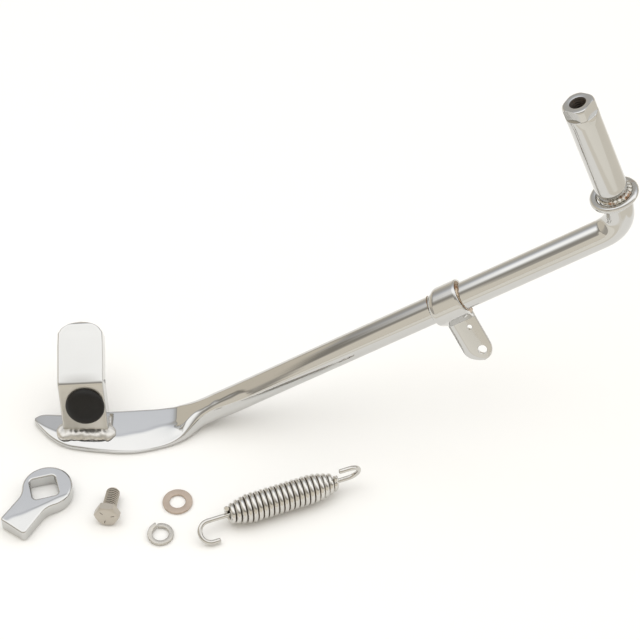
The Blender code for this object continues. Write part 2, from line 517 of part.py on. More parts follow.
def make_spring():
    heading = radians(COIL_AZIMUTH)
    axis = np.array([cos(heading), sin(heading), 0.0])
    near = np.array([sin(heading), -cos(heading), 0.0])
    steps = int(COIL_TURNS * 13)
    rings = []
    for i in range(steps + 1):
        turn = COIL_TURNS * i / steps
        cone = min(1.0, turn / CONE_TURNS, (COIL_TURNS - turn) / CONE_TURNS)
        radius = CONE_R + (COIL_R - CONE_R) * (1 - (1 - cone) ** 1.35)
        radius += STUB_RISE * max(0.0, 1 - min(turn, COIL_TURNS - turn) / STUB_TURN)
        a = radians(COIL_CLOCK) + 2 * pi * turn
        along = WIRE_R + (COIL_LENGTH - 2 * WIRE_R) * turn / COIL_TURNS
        out = near * cos(a) + UP * sin(a)
        rings.append((COIL_START + axis * along + out * radius, out))
    points = [p for p, _ in rings]
    tangents = [unit(points[min(i + 1, steps)] - points[max(i - 1, 0)]) for i in range(steps + 1)]
    wire = []
    for (centre, out), tangent in zip(rings, tangents):
        across = unit(out - np.dot(out, tangent) * tangent)
        through = np.cross(tangent, across)
        wire.append([centre + WIRE_R * (across * cos(pi * k / 3) + through * sin(pi * k / 3)) for k in range(6)])
    coil_end = COIL_START + axis * COIL_LENGTH
    add_object("spring_coil", loft(wire), "spring_steel", COIL_START)

    for name, end, outward, swivel, tip in (
            ("spring_hook_left", COIL_START, -axis, LEFT_SWIVEL, LEFT_TIP),
            ("spring_hook_right", coil_end - axis * HOOK_PUSHED, axis, RIGHT_SWIVEL, RIGHT_TIP)):
        swing = near * cos(radians(swivel)) + UP * sin(radians(swivel))
        path = [(end - outward * (HOOK_HEAD_IN - d), outward, r) for d, r in
                ((0.0, 0.8), (0.5, HOOK_HEAD_R - 0.7), (1.2, HOOK_HEAD_R), (2.6, HOOK_HEAD_R),
                 (5.5, HOOK_R + 0.7), (8.0, HOOK_R))]
        path.append((end + outward * 2.0, outward, HOOK_R))
        corner = end + outward * (HOOK_SHANK + HOOK_SPAN / 2)
        path += [(p, t, HOOK_R) for p, t in bend(corner, outward, swing, HOOK_SPAN / 2, 8)]
        corner = corner + swing * HOOK_SPAN
        path += [(p, t, HOOK_R) for p, t in bend(corner, swing, -outward, HOOK_SPAN / 2, 8)[1:]]
        last = path[-1][0]
        path += [(last - outward * tip, -outward, HOOK_R), (last - outward * (tip + 0.8), -outward, 0.9)]
        plane = np.cross(outward, swing)
        add_object(name, loft([path_ring(p, t, plane, r) for p, t, r in path]), "spring_steel", end)


def rest_on_origin():
    """Shift everything so that the middle of the overall box's underside is the origin."""
    bpy.context.view_layer.update()
    shapes = bpy.context.evaluated_depsgraph_get()
    corners = []
    for thing in bpy.context.scene.objects:
        if not thing.hide_render:
            whole = thing.evaluated_get(shapes)
            corners += [whole.matrix_world @ v.co for v in whole.to_mesh().vertices]
            whole.to_mesh_clear()
    low, high = np.min(corners, axis=0), np.max(corners, axis=0)
    shift = np.array([(low[0] + high[0]) / 2, (low[1] + high[1]) / 2, low[2]])
    for thing in bpy.context.scene.objects:
        thing.location = np.array(thing.location) - shift


for old in list(bpy.data.objects):
    bpy.data.objects.remove(old)
make_leg_bar()
make_pivot_shaft()
make_collar()
make_toe_tab()
make_bracket()
make_cam()
make_bolt()
make_washers()
make_spring()
rest_on_origin()
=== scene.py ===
"""Looks of the kickstand and its fitting kit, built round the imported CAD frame."""

from math import acos, atan2, cos, degrees, pi, radians, sin, sqrt, tan

import bmesh
import bpy
import numpy as np
from numpy import array, cross, dot, linspace
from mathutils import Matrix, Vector, noise


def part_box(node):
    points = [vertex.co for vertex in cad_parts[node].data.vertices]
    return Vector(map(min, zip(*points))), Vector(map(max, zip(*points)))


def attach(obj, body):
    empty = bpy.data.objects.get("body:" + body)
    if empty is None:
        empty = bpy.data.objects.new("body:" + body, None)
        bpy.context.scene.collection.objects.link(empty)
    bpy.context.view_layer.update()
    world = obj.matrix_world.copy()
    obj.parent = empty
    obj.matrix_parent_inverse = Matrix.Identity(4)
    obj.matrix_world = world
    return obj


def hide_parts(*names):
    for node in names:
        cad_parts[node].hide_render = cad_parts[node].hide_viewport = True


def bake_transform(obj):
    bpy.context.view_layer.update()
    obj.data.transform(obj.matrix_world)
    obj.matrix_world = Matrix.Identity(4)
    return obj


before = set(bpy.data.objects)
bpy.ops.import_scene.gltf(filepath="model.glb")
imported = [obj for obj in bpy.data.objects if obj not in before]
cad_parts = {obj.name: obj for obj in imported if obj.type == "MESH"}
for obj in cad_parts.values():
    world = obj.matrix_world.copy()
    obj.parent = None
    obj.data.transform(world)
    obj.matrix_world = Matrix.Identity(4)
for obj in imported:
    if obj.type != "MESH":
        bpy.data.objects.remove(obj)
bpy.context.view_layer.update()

scene = bpy.context.scene

# Working units are millimetres on the bench; OFFSET carries them into the row frame.
MM = 0.001
UP = array([0.0, 0.0, 1.0])
FLAT_CENTRE = array([-80.7, -139.2, 0.0])
OFFSET = sum(array(p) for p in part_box("flat_washer")) / 2 / MM - FLAT_CENTRE
OFFSET[2] = 0


def unit(vector):
    vector = np.asarray(vector, float)
    return vector / np.linalg.norm(vector)


# ---- dimensions: the CAD's, and a few that only the fine model has
ELBOW = array([163.0, -68.1, 153.0])
LEG_DIR = unit([-0.8437, -0.0377, -0.5355])
PIVOT_DIR = unit([-0.3771, 0.0782, 0.9229])
BAR_R, NECK_R = 7.9, 8.7
ELBOW_TANGENT, FOOT_TANGENT, PAD_HALF, PAD_END_X = 15, 24, 2.25, -166.8
PAD_STATIONS = ((-50, -69.7, -85.5), (-63, -70.3, -86.1), (-70, -70.9, -88.4), (-77.5, -71.5, -94.6),
    (-85, -72.2, -98.4), (-95, -73.7, -101.7), (-104, -74.4, -104), (-114, -75.2, -104.7),
    (-127, -76, -103.7), (-138, -76.9, -102.3), (-147, -77.4, -100.2), (-154, -77.4, -96.4),
    (-160, -77.3, -91), (-164, -78, -86.3), (-166.8, -79.8, -82.7))
SHAFT_BASE, SHAFT_LEDGE, SHAFT_END, SHAFT_R = 20.2, 79.6, 86.4, 8.7
UNDERCUT_R, UNDERCUT_TOP = 8.3, 25.8
DRIVE_HALF, DRIVE_CLOCK = 7.2, -15
THREAD_DRILL_R, COUNTERSINK_R, BORE_DEPTH = 3.45, 4.5, 22
COLLAR_BOTTOM, COLLAR_TOP, COLLAR_IN_R, COLLAR_OUT_R = 19.4, 22.8, 9.2, 13.4
TAB_CORNER = array([-149.0, -92.4, 6.0])
TAB_WIDTH, TAB_THICK = 26.4, 12
TAB_ROLL, TAB_TURN, TAB_LEAN, TAB_BEND = 3.2, 0.9, 20, 45
TAB_LOWER, TAB_UPPER, TAB_LENGTH, TAB_EDGE, CREASE_R = 31, 31.5, 38.1, 1.3, 4.2
BUMPER_R, BUMPER_PROUD, BUMPER_ACROSS, BUMPER_UP = 11.3, 5, 14.7, 16.6
STRAP_AT, STRAP_HALF, STRAP_IN_R, SHEET, STRAP_LEAVES = 109, 9.2, 8.2, 2.2, 30
BRACKET_TIP, BRACKET_HALF, TIP_R = 42.4, 8.5, 8.5
SMALL_HOLE_AT, SMALL_HOLE_R, BIG_HOLE_AT, BIG_HOLE_R = 21, 1.45, 36.2, 2.6
STRAP_NARROW, STRAP_CUT, STRAP_SHIFT = 3.4, 1.6, 0.7  # behind the bar, and at the strap's end
HOLE_SET_OFF = 0.8  # towards the elbow
TAB_SET_OFF, TAB_BEVEL = 1.7, 0.7  # how far the bracket's tab stands towards the foot, and its edge's bevel
BRACKET_DIR = array([0.4959, -0.4365, -0.7506])
CAM_CENTRE, CAM_HEAD_R, CAM_THICK, CAM_TURN = array([-154.4, -133.8, 0.0]), 14.3, 8.8, -121.1
TAIL_LEFT, TAIL_RIGHT, TAIL_END_LEFT, TAIL_END_RIGHT, NECK_FILLET = 8.4, 9.1, 33.2, 32.6, 13
CAM_HOLE_HALF, CAM_HOLE_CORNER, CAM_HOLE_TURN, CAM_CHAMFER, CAM_HOLE_AT = 7.3, 2.4, 46.6, 0.8, (1.4, -1.2)
BOLT_FACE = array([-119.6, -154.9, 7.05])
BOLT_AZIMUTH, BOLT_DIP, HEX_HALF, HEX_HEIGHT, BOLT_LENGTH = 83, 8.5, 6.35, 5.2, 21.1
THREAD_R, THREAD_ROOT_R, THREAD_PITCH = 3.95, 3.3, 1.411
LOCK_CENTRE, LOCK_IN_R, LOCK_OUT_R, LOCK_THICK = array([-89.1, -162.1, 0.0]), 4.6, 7.3, 2.0
LOCK_SPLIT, LOCK_RISE, LOCK_SLOT = 112, 1.6, 8
FLAT_IN_R, FLAT_OUT_R, FLAT_THICK = 4.6, 8.5, 1.4
WIRE_R, COIL_R, CONE_R = 1.5, 7.1, 3.45
COIL_START, COIL_AZIMUTH, COIL_LENGTH = array([-53.2, -154.8, 8.45]), 21.1, 67.6
COIL_TURNS, CONE_TURNS, COIL_CLOCK, STUB_TURN, STUB_RISE = 21, 4.5, 90, 0.09, 2.2
HOOK_R, HOOK_HEAD_R, HOOK_HEAD_IN = 1.4, 3.4, 13.5
HOOK_SHANK, HOOK_SPAN, HOOK_PUSHED = 10.2, 12.2, 4
LEFT_SWIVEL, RIGHT_SWIVEL, LEFT_TIP, RIGHT_TIP = -30, 77, 3.2, 5.6
GAP = 0.3

# ---- materials


class Nodes:
    """The node tree of a material or a world, with short ways to add and join nodes."""

    def __init__(self, name, world=False):
        self.owner = (bpy.data.worlds if world else bpy.data.materials).new(name)
        self.owner.use_nodes = True
        self.tree = self.owner.node_tree
        self.shader = self.tree.nodes["Background" if world else "Principled BSDF"]
        self.place = self.add("ShaderNodeTexCoord").outputs["Generated" if world else "Object"]

    def feed(self, socket, value):
        """Put a number, a colour or another node's output into a socket."""
        if isinstance(value, bpy.types.NodeSocket):
            self.tree.links.new(value, socket)
        else:
            socket.default_value = (*value, 1) if isinstance(value, tuple) else value

    def add(self, kind, **inputs):
        node = self.tree.nodes.new(kind)
        for key, value in inputs.items():
            self.feed(node.inputs[key.replace("_", " ")], value)
        return node

    def noise(self, scale, detail=3, roughness=0.5, stretch=None):
        where = self.place
        if stretch is not None:
            where = self.add("ShaderNodeMapping", Vector=where, Scale=stretch).outputs["Vector"]
        node = self.add("ShaderNodeTexNoise", Vector=where, Scale=scale, Detail=detail, Roughness=roughness)
        return node.outputs["Fac"]

    def spots(self, scale):
        return self.add("ShaderNodeTexVoronoi", Vector=self.place, Scale=scale).outputs["Distance"]

    def ramp(self, source, *stops):
        node = self.add("ShaderNodeValToRGB", Fac=source)
        elements = node.color_ramp.elements
        while len(elements) < len(stops):
            elements.new(0.5)
        for element, (position, value) in zip(elements, stops):
            element.position = position
            element.color = (*value, 1) if isinstance(value, tuple) else (value, value, value, 1)
        return node.outputs["Color"]

    def mix(self, factor, one, two, blend="MIX"):
        node = self.add("ShaderNodeMix")
        node.data_type, node.blend_type = "RGBA", blend
        for index, value in ((0, factor), (6, one), (7, two)):
            self.feed(node.inputs[index], value)
        return node.outputs[2]

    def math(self, operation, one, two):
        node = self.add("ShaderNodeMath")
        node.operation = operation
        self.feed(node.inputs[0], one)
        self.feed(node.inputs[1], two)
        return node.outputs[0]

    def times(self, one, two):
        return self.math("MULTIPLY", one, two)

    def plus(self, one, two):
        return self.math("ADD", one, two)

    def share(self, value, start, end):
        """How far a value has gone from start to end, from 0 to 1."""
        return self.add("ShaderNodeMapRange", Value=value, From_Min=start, From_Max=end).outputs[0]

    def bump(self, height, distance, strength=1, normal=None):
        node = self.add("ShaderNodeBump", Height=height, Distance=distance, Strength=strength)
        if normal is not None:
            self.feed(node.inputs["Normal"], normal)
        return node.outputs["Normal"]

    def finish(self, *looks):
        """Takes the colour, roughness, normal and metallic share."""
        for key, value in zip(("Base Color", "Roughness", "Normal", "Metallic"), looks):
            self.feed(self.shader.inputs[key], value)
        return self.owner


def chrome(name, tint=(0.6, 0.597, 0.585), rough=0.035, waves=0.00003, wave_scale=38):
    """Polished chrome plate: faint waves from hand polishing, dust-fine pits and a slightly uneven gloss."""
    n = Nodes(name)
    cloudy = n.noise(22, 4, 0.6)
    tone = n.mix(n.ramp(cloudy, (0.35, 0), (0.65, 1)), tuple(c * 0.97 for c in tint), tint)
    pit = n.ramp(n.spots(95), (0.018, 1), (0.045, 0))
    chosen = n.ramp(n.noise(41, 1), (0.6, 0), (0.66, 1))
    pit = n.mix(1, pit, chosen, "MULTIPLY")
    colour = n.mix(n.times(pit, 0.75), tone, (0.2, 0.15, 0.11))
    smear = n.noise(60, 6, 0.7, Vector((1, 2.5, 1)))
    gloss = n.plus(n.plus(n.times(smear, rough), rough * 0.45), n.times(pit, 0.25))
    normal = n.bump(n.noise(wave_scale, 2, 0.4), waves)
    normal = n.bump(n.noise(2600, 2, 0.6), 0.0000012, 1, normal)
    return n.finish(colour, gloss, normal, 1)


def weld_metal(name, tint, rust, rust_amount, scale, relief, rough=0.11):
    """Plated weld bead: lumpy bright metal with brown in the hollows."""
    n = Nodes(name)
    grain = n.noise(scale, 5, 0.65)
    stain = n.ramp(n.noise(scale * 0.45, 4, 0.7), (rust_amount, 0), (rust_amount + 0.12, 1))
    colour = n.mix(stain, n.mix(grain, tuple(c * 0.8 for c in tint), tint), rust)
    gloss = n.plus(n.plus(n.times(grain, 0.2), rough), n.times(stain, 0.3))
    normal = n.bump(grain, relief, 0.8)
    normal = n.bump(n.noise(scale * 5, 3), relief * 0.15, 0.7, normal)
    return n.finish(colour, gloss, normal, 1)


def plated(name, light, dark, rough, grain_scale, metallic=0.85, speck=(0.3, 0.2, 0.12), speck_from=0.66,
        spread=0.25):
    """Dull plated hardware: fine frosting, cloudy tone and brown specks."""
    n = Nodes(name)
    cloud = n.noise(grain_scale * 0.12, 5, 0.6)
    frost = n.noise(grain_scale, 4, 0.7)
    colour = n.mix(cloud, dark, light)
    colour = n.mix(n.ramp(frost, (speck_from, 0), (speck_from + 0.08, 0.8)), colour, speck)
    gloss = n.plus(n.times(frost, spread), rough)
    normal = n.bump(frost, 0.00003, 0.8)
    return n.finish(colour, gloss, normal, metallic)


def rubber():
    n = Nodes("bumper_rubber")
    mottled = n.noise(140, 5, 0.65)
    colour = n.mix(mottled, (0.006, 0.0055, 0.005), (0.016, 0.0145, 0.013))
    dust = n.ramp(n.noise(700, 3, 0.8), (0.64, 0), (0.74, 0.3))
    colour = n.mix(dust, colour, (0.07, 0.06, 0.05))
    gloss = n.plus(n.times(mottled, 0.25), 0.34)
    n.shader.inputs["Specular IOR Level"].default_value = 0.26
    normal = n.bump(n.noise(2200, 3, 0.6), 0.00003, 0.6)
    normal = n.bump(mottled, 0.00006, 0.5, normal)
    return n.finish(colour, gloss, normal, 0)


BORE_DARK = plated("bare_bore", (0.1, 0.085, 0.07), (0.03, 0.022, 0.016), 0.38, 900, 0.6,
    (0.26, 0.13, 0.055), 0.6)
# Dark brown for the screw's thread roots and head marks: painted shade in the thread's valleys and along the
# marks.
PAINTED_SHADE_DARK = plated("painted_shade_thread_and_marks", (0.11, 0.09, 0.07), (0.04, 0.03, 0.022), 0.45, 900, 0.4)
CHROME_BAR = chrome("chrome_bar", wave_scale=30)
CHROME_SHAFT = chrome("chrome_shaft", rough=0.06, waves=0.00002, wave_scale=60)
CHROME_TAB = chrome("chrome_tab", waves=0.00005, wave_scale=24)
CHROME_SATIN = chrome("chrome_satin", tint=(0.595, 0.575, 0.53), rough=0.34)
CHROME_BRACKET = chrome("chrome_bracket", rough=0.06, waves=0.00003, wave_scale=70)
CHROME_CAM = chrome("chrome_cam", rough=0.05, waves=0.00004, wave_scale=45)
CHROME_RING = chrome("chrome_ring", rough=0.08, waves=0.00006, wave_scale=90)
WELD_TAB = weld_metal("weld_toe_tab", (0.72, 0.7, 0.66), (0.3, 0.2, 0.13), 0.64, 260, 0.00004, 0.26)
WELD_COLLAR = weld_metal("weld_collar", (0.58, 0.56, 0.51), (0.34, 0.15, 0.05), 0.52, 620, 0.0001)
WELD_STAIN = weld_metal("weld_stain", (0.58, 0.565, 0.53), (0.36, 0.19, 0.09), 0.56, 560, 0.00006, 0.16)
BRAZE = weld_metal("braze_bronze", (0.52, 0.43, 0.33), (0.27, 0.15, 0.08), 0.46, 700, 0.00008)
ZINC_BOLT = plated("zinc_bolt", (0.6, 0.56, 0.495), (0.44, 0.4, 0.345), 0.2, 900, 0.5)
ZINC_LOCK = plated("zinc_lock_washer", (0.6, 0.575, 0.53), (0.45, 0.425, 0.38), 0.16, 1100, speck_from=0.7)
BROWN_ZINC = plated("zinc_flat_washer", (0.6, 0.5, 0.415), (0.42, 0.345, 0.285), 0.34, 1300, 0.8)
SPRING_WIRE = plated("spring_wire", (0.7, 0.69, 0.67), (0.56, 0.54, 0.5), 0.04, 700, 1,
    (0.16, 0.1, 0.06), 0.7, 0.12)
# Darker brown for the coil wire's inner side, between the turns: painted shade.
SPRING_GAP_PAINTED_SHADE = plated("spring_gaps_painted_shade", (0.34, 0.28, 0.22), (0.16, 0.12, 0.09), 0.25, 700, 1,
    (0.1, 0.06, 0.035), 0.62)
HOOK_WIRE = plated("hook_wire", (0.66, 0.65, 0.62), (0.52, 0.5, 0.47), 0.05, 700, 1,
    (0.18, 0.12, 0.08), 0.72, 0.12)

# ---- mesh building


def add_piece(name, mesh_data, material, body, nodes=(), sharp=32, second=None):
    """Turn a bmesh in bench millimetres into a piece that rides a body and stands for CAD nodes.

    A second finish comes as (material, test): faces whose middle passes the test wear it.
    """
    bmesh.ops.recalc_face_normals(mesh_data, faces=mesh_data.faces)
    if second:
        for face in mesh_data.faces:
            face.material_index = int(second[1](array(face.calc_center_median())))
    for vertex in mesh_data.verts:
        vertex.co = Vector((array(vertex.co) + OFFSET) * MM)
    mesh = bpy.data.meshes.new(name)
    mesh_data.to_mesh(mesh)
    mesh_data.free()
    piece = bpy.data.objects.new(name, mesh)
    scene.collection.objects.link(piece)
    mesh.materials.append(material)
    if second:
        mesh.materials.append(second[0])
    mesh.shade_smooth()
    mesh.set_sharp_from_angle(angle=radians(sharp))
    if body:
        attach(piece, body)
    if nodes:
        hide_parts(*nodes)
    return piece


def fine(node, mesh_data, material, body, sharp, second=None):
    """The fine piece that stands for one CAD node."""
    return add_piece(f"{node}_fine", mesh_data, material, body, [node], sharp, second)


def loft(rings, joined=False):
    """Skin a row of equal rings; the row is capped at both ends, or joined end to end."""
    body = bmesh.new()
    loops = [[body.verts.new(tuple(map(float, p))) for p in ring] for ring in rings]
    pairs = list(zip(loops, loops[1:])) + ([(loops[-1], loops[0])] if joined else [])
    for one, two in pairs:
        for i in range(len(one)):
            j = (i + 1) % len(one)
            body.faces.new((one[i], one[j], two[j], two[i]))
    if not joined:
        body.faces.new(loops[0])
        body.faces.new(loops[-1])
    return body


def rounded_section(half_w, half_t, radius, per_corner, per_side=1):
    """Rounded rectangle; with more points on its sides, the flats can be crowned."""
    corners = []
    for corner, (sx, sy) in enumerate(((1, 1), (-1, 1), (-1, -1), (1, -1))):
        for i in range(per_corner):
            a = radians(90 * (corner + (i + 0.5) / per_corner))
            x, y = sx * (half_w - radius) + radius * cos(a), sy * (half_t - radius) + radius * sin(a)
            corners.append((x, y))
    points = []
    for end in range(per_corner, len(corners) + 1, per_corner):
        points += corners[end - per_corner:end]
        one, two = corners[end - 1], corners[end % len(corners)]
        for t in linspace(0, 1, per_side + 1)[1:-1]:
            points.append((one[0] * (1 - t) + two[0] * t, one[1] * (1 - t) + two[1] * t))
    return points


def section_ring(centre, across, through, half_w, half_t, radius, per_corner):
    outline = rounded_section(half_w, half_t, min(radius, half_w, half_t), per_corner)
    return [centre + across * x + through * y for x, y in outline]


def path_ring(centre, tangent, reference, radius):
    across = unit(reference - dot(reference, tangent) * tangent)
    return section_ring(centre, across, cross(tangent, across), radius, radius, radius, 5)


def spoke(pair, a):
    """Direction at an angle from the first of two crossed directions towards the second."""
    return pair[0] * cos(a) + pair[1] * sin(a)


def axis_pair(axis):
    side = unit(cross(axis, UP)) if abs(axis[2]) < 0.99 else array([1.0, 0.0, 0.0])
    return side, cross(axis, side)


def level_pair(turn):
    """Level direction at a number of degrees from x, and the one to its right."""
    a = radians(turn)
    return array([cos(a), sin(a), 0.0]), array([sin(a), -cos(a), 0.0])


def turned(base, axis, profile, segments, joined=False):
    outs = [spoke(axis_pair(axis), 2 * pi * i / segments) for i in range(segments)]
    return loft([[base + axis * height + r * out for out in outs] for r, height in profile], joined)


def ring_profile(inner, outer, bottom, top, edge, steps):
    low, high = bottom + edge, top - edge
    middles = ((outer - edge, high), (inner + edge, high), (inner + edge, low), (outer - edge, low))
    return [(r + edge * cos(a + corner * pi / 2), h + edge * sin(a + corner * pi / 2))
        for corner, (r, h) in enumerate(middles) for a in quarter(steps)]


EASED = 0.6  # of an eased bend's turning


def bend(corner, into, out, tangent_length, steps, eased=False):
    """Points and headings round a corner: a round arc, or one that tightens and opens gradually."""
    turn = pi - atan2(np.linalg.norm(cross(-into, out)), dot(-into, out))
    inward = unit(out - dot(out, into) * into)
    start = corner - into * tangent_length
    if eased:
        shares = [i / steps for i in range(steps + 1)]
        angles = [turn * ((1 - EASED) * share + EASED * ease(share, 0, 1)) for share in shares]
        along, sideways = [0], [0]
        for one, two in zip(angles, angles[1:]):
            along.append(along[-1] + cos((one + two) / 2))
            sideways.append(sideways[-1] + sin((one + two) / 2))
        size = tangent_length * sin(turn) / sideways[-1]
    else:
        angles = [turn * i / steps for i in range(steps + 1)]
        along, sideways = [sin(a) for a in angles], [1 - cos(a) for a in angles]
        size = tangent_length / tan(turn / 2)
    return [(start + (into * x + inward * y) * size, into * cos(a) + inward * sin(a))
        for x, y, a in zip(along, sideways, angles)]


def smooth_value(x, xs, ys):
    xs, ys = np.asarray(xs)[::-1], np.asarray(ys)[::-1]
    slopes = np.gradient(ys, xs)
    i = int(np.clip(np.searchsorted(xs, x) - 1, 0, len(xs) - 2))
    span = xs[i + 1] - xs[i]
    t = float(np.clip((x - xs[i]) / span, 0, 1))
    return ((1 + 2 * t) * (1 - t) ** 2 * ys[i] + t * (1 - t) ** 2 * span * slopes[i]
        + t * t * (3 - 2 * t) * ys[i + 1] + t * t * (t - 1) * span * slopes[i + 1])


def ease(x, low, high):
    t = min(1, max(0, (x - low) / (high - low)))
    return t * t * (3 - 2 * t)


def quarter(steps):
    """Angles that step from nought to a right angle."""
    return [pi / 2 * k / steps for k in range(steps + 1)]


def bead(root, out, up, steps, size, power=1):
    """A bead's section: its root, then a quarter turn from out to up, with each point's size by its angle."""
    return [root] + [root + (out * cos(b) ** power + up * sin(b) ** power) * size(b) for b in quarter(steps)]


def rim(base, axis, height, spokes, reach):
    """A ring at a height on an axis, as far out along the spokes as reach says."""
    return base + axis * height + spokes * np.broadcast_to(reach, len(spokes))[:, None]


def from_axis(base, axis, point):
    """Height along an axis and distance from it."""
    height = float(dot(point - base, axis))
    return height, float(np.linalg.norm(point - base - axis * height))


def lumps(point, size):
    """Smooth repeatable unevenness between about -1 and 1, with features of the given size."""
    return noise.noise(Vector(point) / size) * 2


# ---- leg bar and pivot shaft
CREASE_FROM, CREASE_TO = -100, -54  # along the pad's root, where its top is creased
CREASE_SLANT, CREASE_SHARP, CREASE_SOFT = 5, 0.5, 9  # on the near side it is softer and nearer the elbow
RIDGE_LOW, RIDGE_HIGH, RIDGE_SPREAD = 0.33, 0.6, 0.22 / 37  # where the pad's ridge lies across its width
NEAR_FALL, RIDGE_RISE, TOE_FALL = 0.16, 0.09, 0.075  # the near part's slope, the ridge, the toe's far part
PRESS = 6  # how suddenly the round bar goes over into the flat pad


def make_leg_bar():
    neck = [SHAFT_BASE - GAP, *linspace(COLLAR_BOTTOM - 0.3, ELBOW_TANGENT + 0.4, 9)]
    path = [(ELBOW + PIVOT_DIR * t, -PIVOT_DIR) for t in neck]
    path += bend(ELBOW, -PIVOT_DIR, LEG_DIR, ELBOW_TANGENT, 44, eased=True)
    path += [(ELBOW + LEG_DIR * k, LEG_DIR) for k in linspace(30, 250, 45)]
    foot = ELBOW + LEG_DIR * (ELBOW[2] - PAD_HALF) / -LEG_DIR[2]
    pad_dir = array([-1.0, 0.0, 0.0])
    path += bend(foot, LEG_DIR, pad_dir, FOOT_TANGENT, 26)
    last_x = path[-1][0][0]
    path += [(array([x, foot[1], PAD_HALF]), pad_dir) for x in
        (*np.arange(last_x - 2, -150, -2), *linspace(-150.5, PAD_END_X, 22))]
    xs, far, near = zip(*PAD_STATIONS)
    rings = []

    def pressed(x, share, top):
        """What to multiply heights by, so that the pad's flat top meets the bar's line at a crease."""
        x -= CREASE_SLANT * (1 - ease(share, 0.05, 0.3 + 0.3 * ease(-x, 78, 92))) * ease(-x, 64, 88)
        line = BAR_R / sqrt(1 - LEG_DIR[2] ** 2) + PAD_HALF + (x - foot[0]) * LEG_DIR[2] / LEG_DIR[0]
        flat_top = 2 * PAD_HALF
        softness = CREASE_SHARP + CREASE_SOFT * (1 - ease(share, 0.15, 0.55))
        return (line + flat_top + sqrt((line - flat_top) ** 2 + softness)) / 2 / top

    for centre, tangent in path:
        up_neck = ease(from_axis(ELBOW, PIVOT_DIR, centre)[0], ELBOW_TANGENT, COLLAR_BOTTOM)
        across = unit(array([0.0, 1.0, 0.0]) - tangent[1] * tangent)
        through = cross(tangent, across)
        half_w = half_t = corner = BAR_R + (NECK_R - BAR_R) * up_neck
        flat = 0
        if centre[0] < xs[0]:
            far_y, near_y = smooth_value(centre[0], xs, far), smooth_value(centre[0], xs, near)
            half_w, middle = (far_y - near_y) / 2, (far_y + near_y) / 2
            centre = array([centre[0], middle, centre[2]])
            clear = centre[2] / sqrt(1 - tangent[2] ** 2)
            half_t = (BAR_R ** -PRESS + clear ** -PRESS) ** (-1 / PRESS)
            flat = ease(-half_t, -6, -PAD_HALF - 0.2)
            half_t *= min(1, 0.55 + 0.45 * sqrt(max(0, (centre[0] - PAD_END_X) / 6)))
            corner = min(half_w, half_t * (1 - 0.45 * flat))
        square = 2 + 2.6 * ease(-centre[0], 40, 72) * ease(centre[0], -100, -92)
        slope = max(flat, ease(-centre[0], 80, 91))
        share = min(RIDGE_HIGH, max(RIDGE_LOW, RIDGE_LOW + (centre[0] + 125) * RIDGE_SPREAD))
        ring = []
        for x, y in rounded_section(half_w, half_t, corner, 12, 26):
            u, v = (corner - half_w - x) / corner, (corner - half_t - y) / corner
            if square > 2 and u > 0 and v > 0:
                grow = (u ** square + v ** square) ** (-1 / square)
                x, y = corner - half_w - u * grow * corner, corner - half_t - v * grow * corner
            # The pad's near part slopes gently down to its rim, past a low ridge left by the forming die.
            if slope and y * through[2] > 0:
                inside = (half_w * 2 - 3.5) * share - (x * across[1] + half_w)
                inside += 0.7 * lumps((centre[0], 0, 0), 11)
                drop = NEAR_FALL * max(0, inside) + RIDGE_RISE * (1 - ease(inside, -1.3, 0))
                drop += TOE_FALL * ease(-centre[0], 144, 152) * max(0, -inside)
                y -= slope * drop * ease(abs(y), 0, half_t) * np.sign(y)
            ring.append(centre + across * x + through * y)
        if CREASE_FROM < centre[0] < CREASE_TO:
            top = max(ring, key=lambda p: p[2])
            edge = min(p[1] for p in ring)
            fade = ease(centre[0], CREASE_FROM, CREASE_FROM + 4)
            fade *= ease(-centre[0], -CREASE_TO, -CREASE_TO + 9)
            shaped = []
            for p in ring:
                change = (pressed(top[0], (p[1] - edge) / (2 * half_w), top[2]) - 1) * fade
                shaped.append(p * array([1, 1, 1 + change * ease(p[2] / top[2], 0.15, 0.75)]))
            ring = shaped
        rings.append(ring)
    fine("leg_bar", loft(rings), CHROME_BAR, "stand", 50)


TOWARDS_CAMERA, CAMERA_ALONG_PIVOT = array([0.0, -0.67, 0.74]), 0.633
DRIVE_ROUND, THREAD_TOP, THREAD_RUN, TAPPED_DEPTH, BOLT_DEPTH = 1.9, 0.7, 11, 0.55, 0.72
BEAD_STEPS = 420
AWAY_FROM_FOOT, WELD_SPAN = 262, 112  # degrees round the shaft, and to each side of that


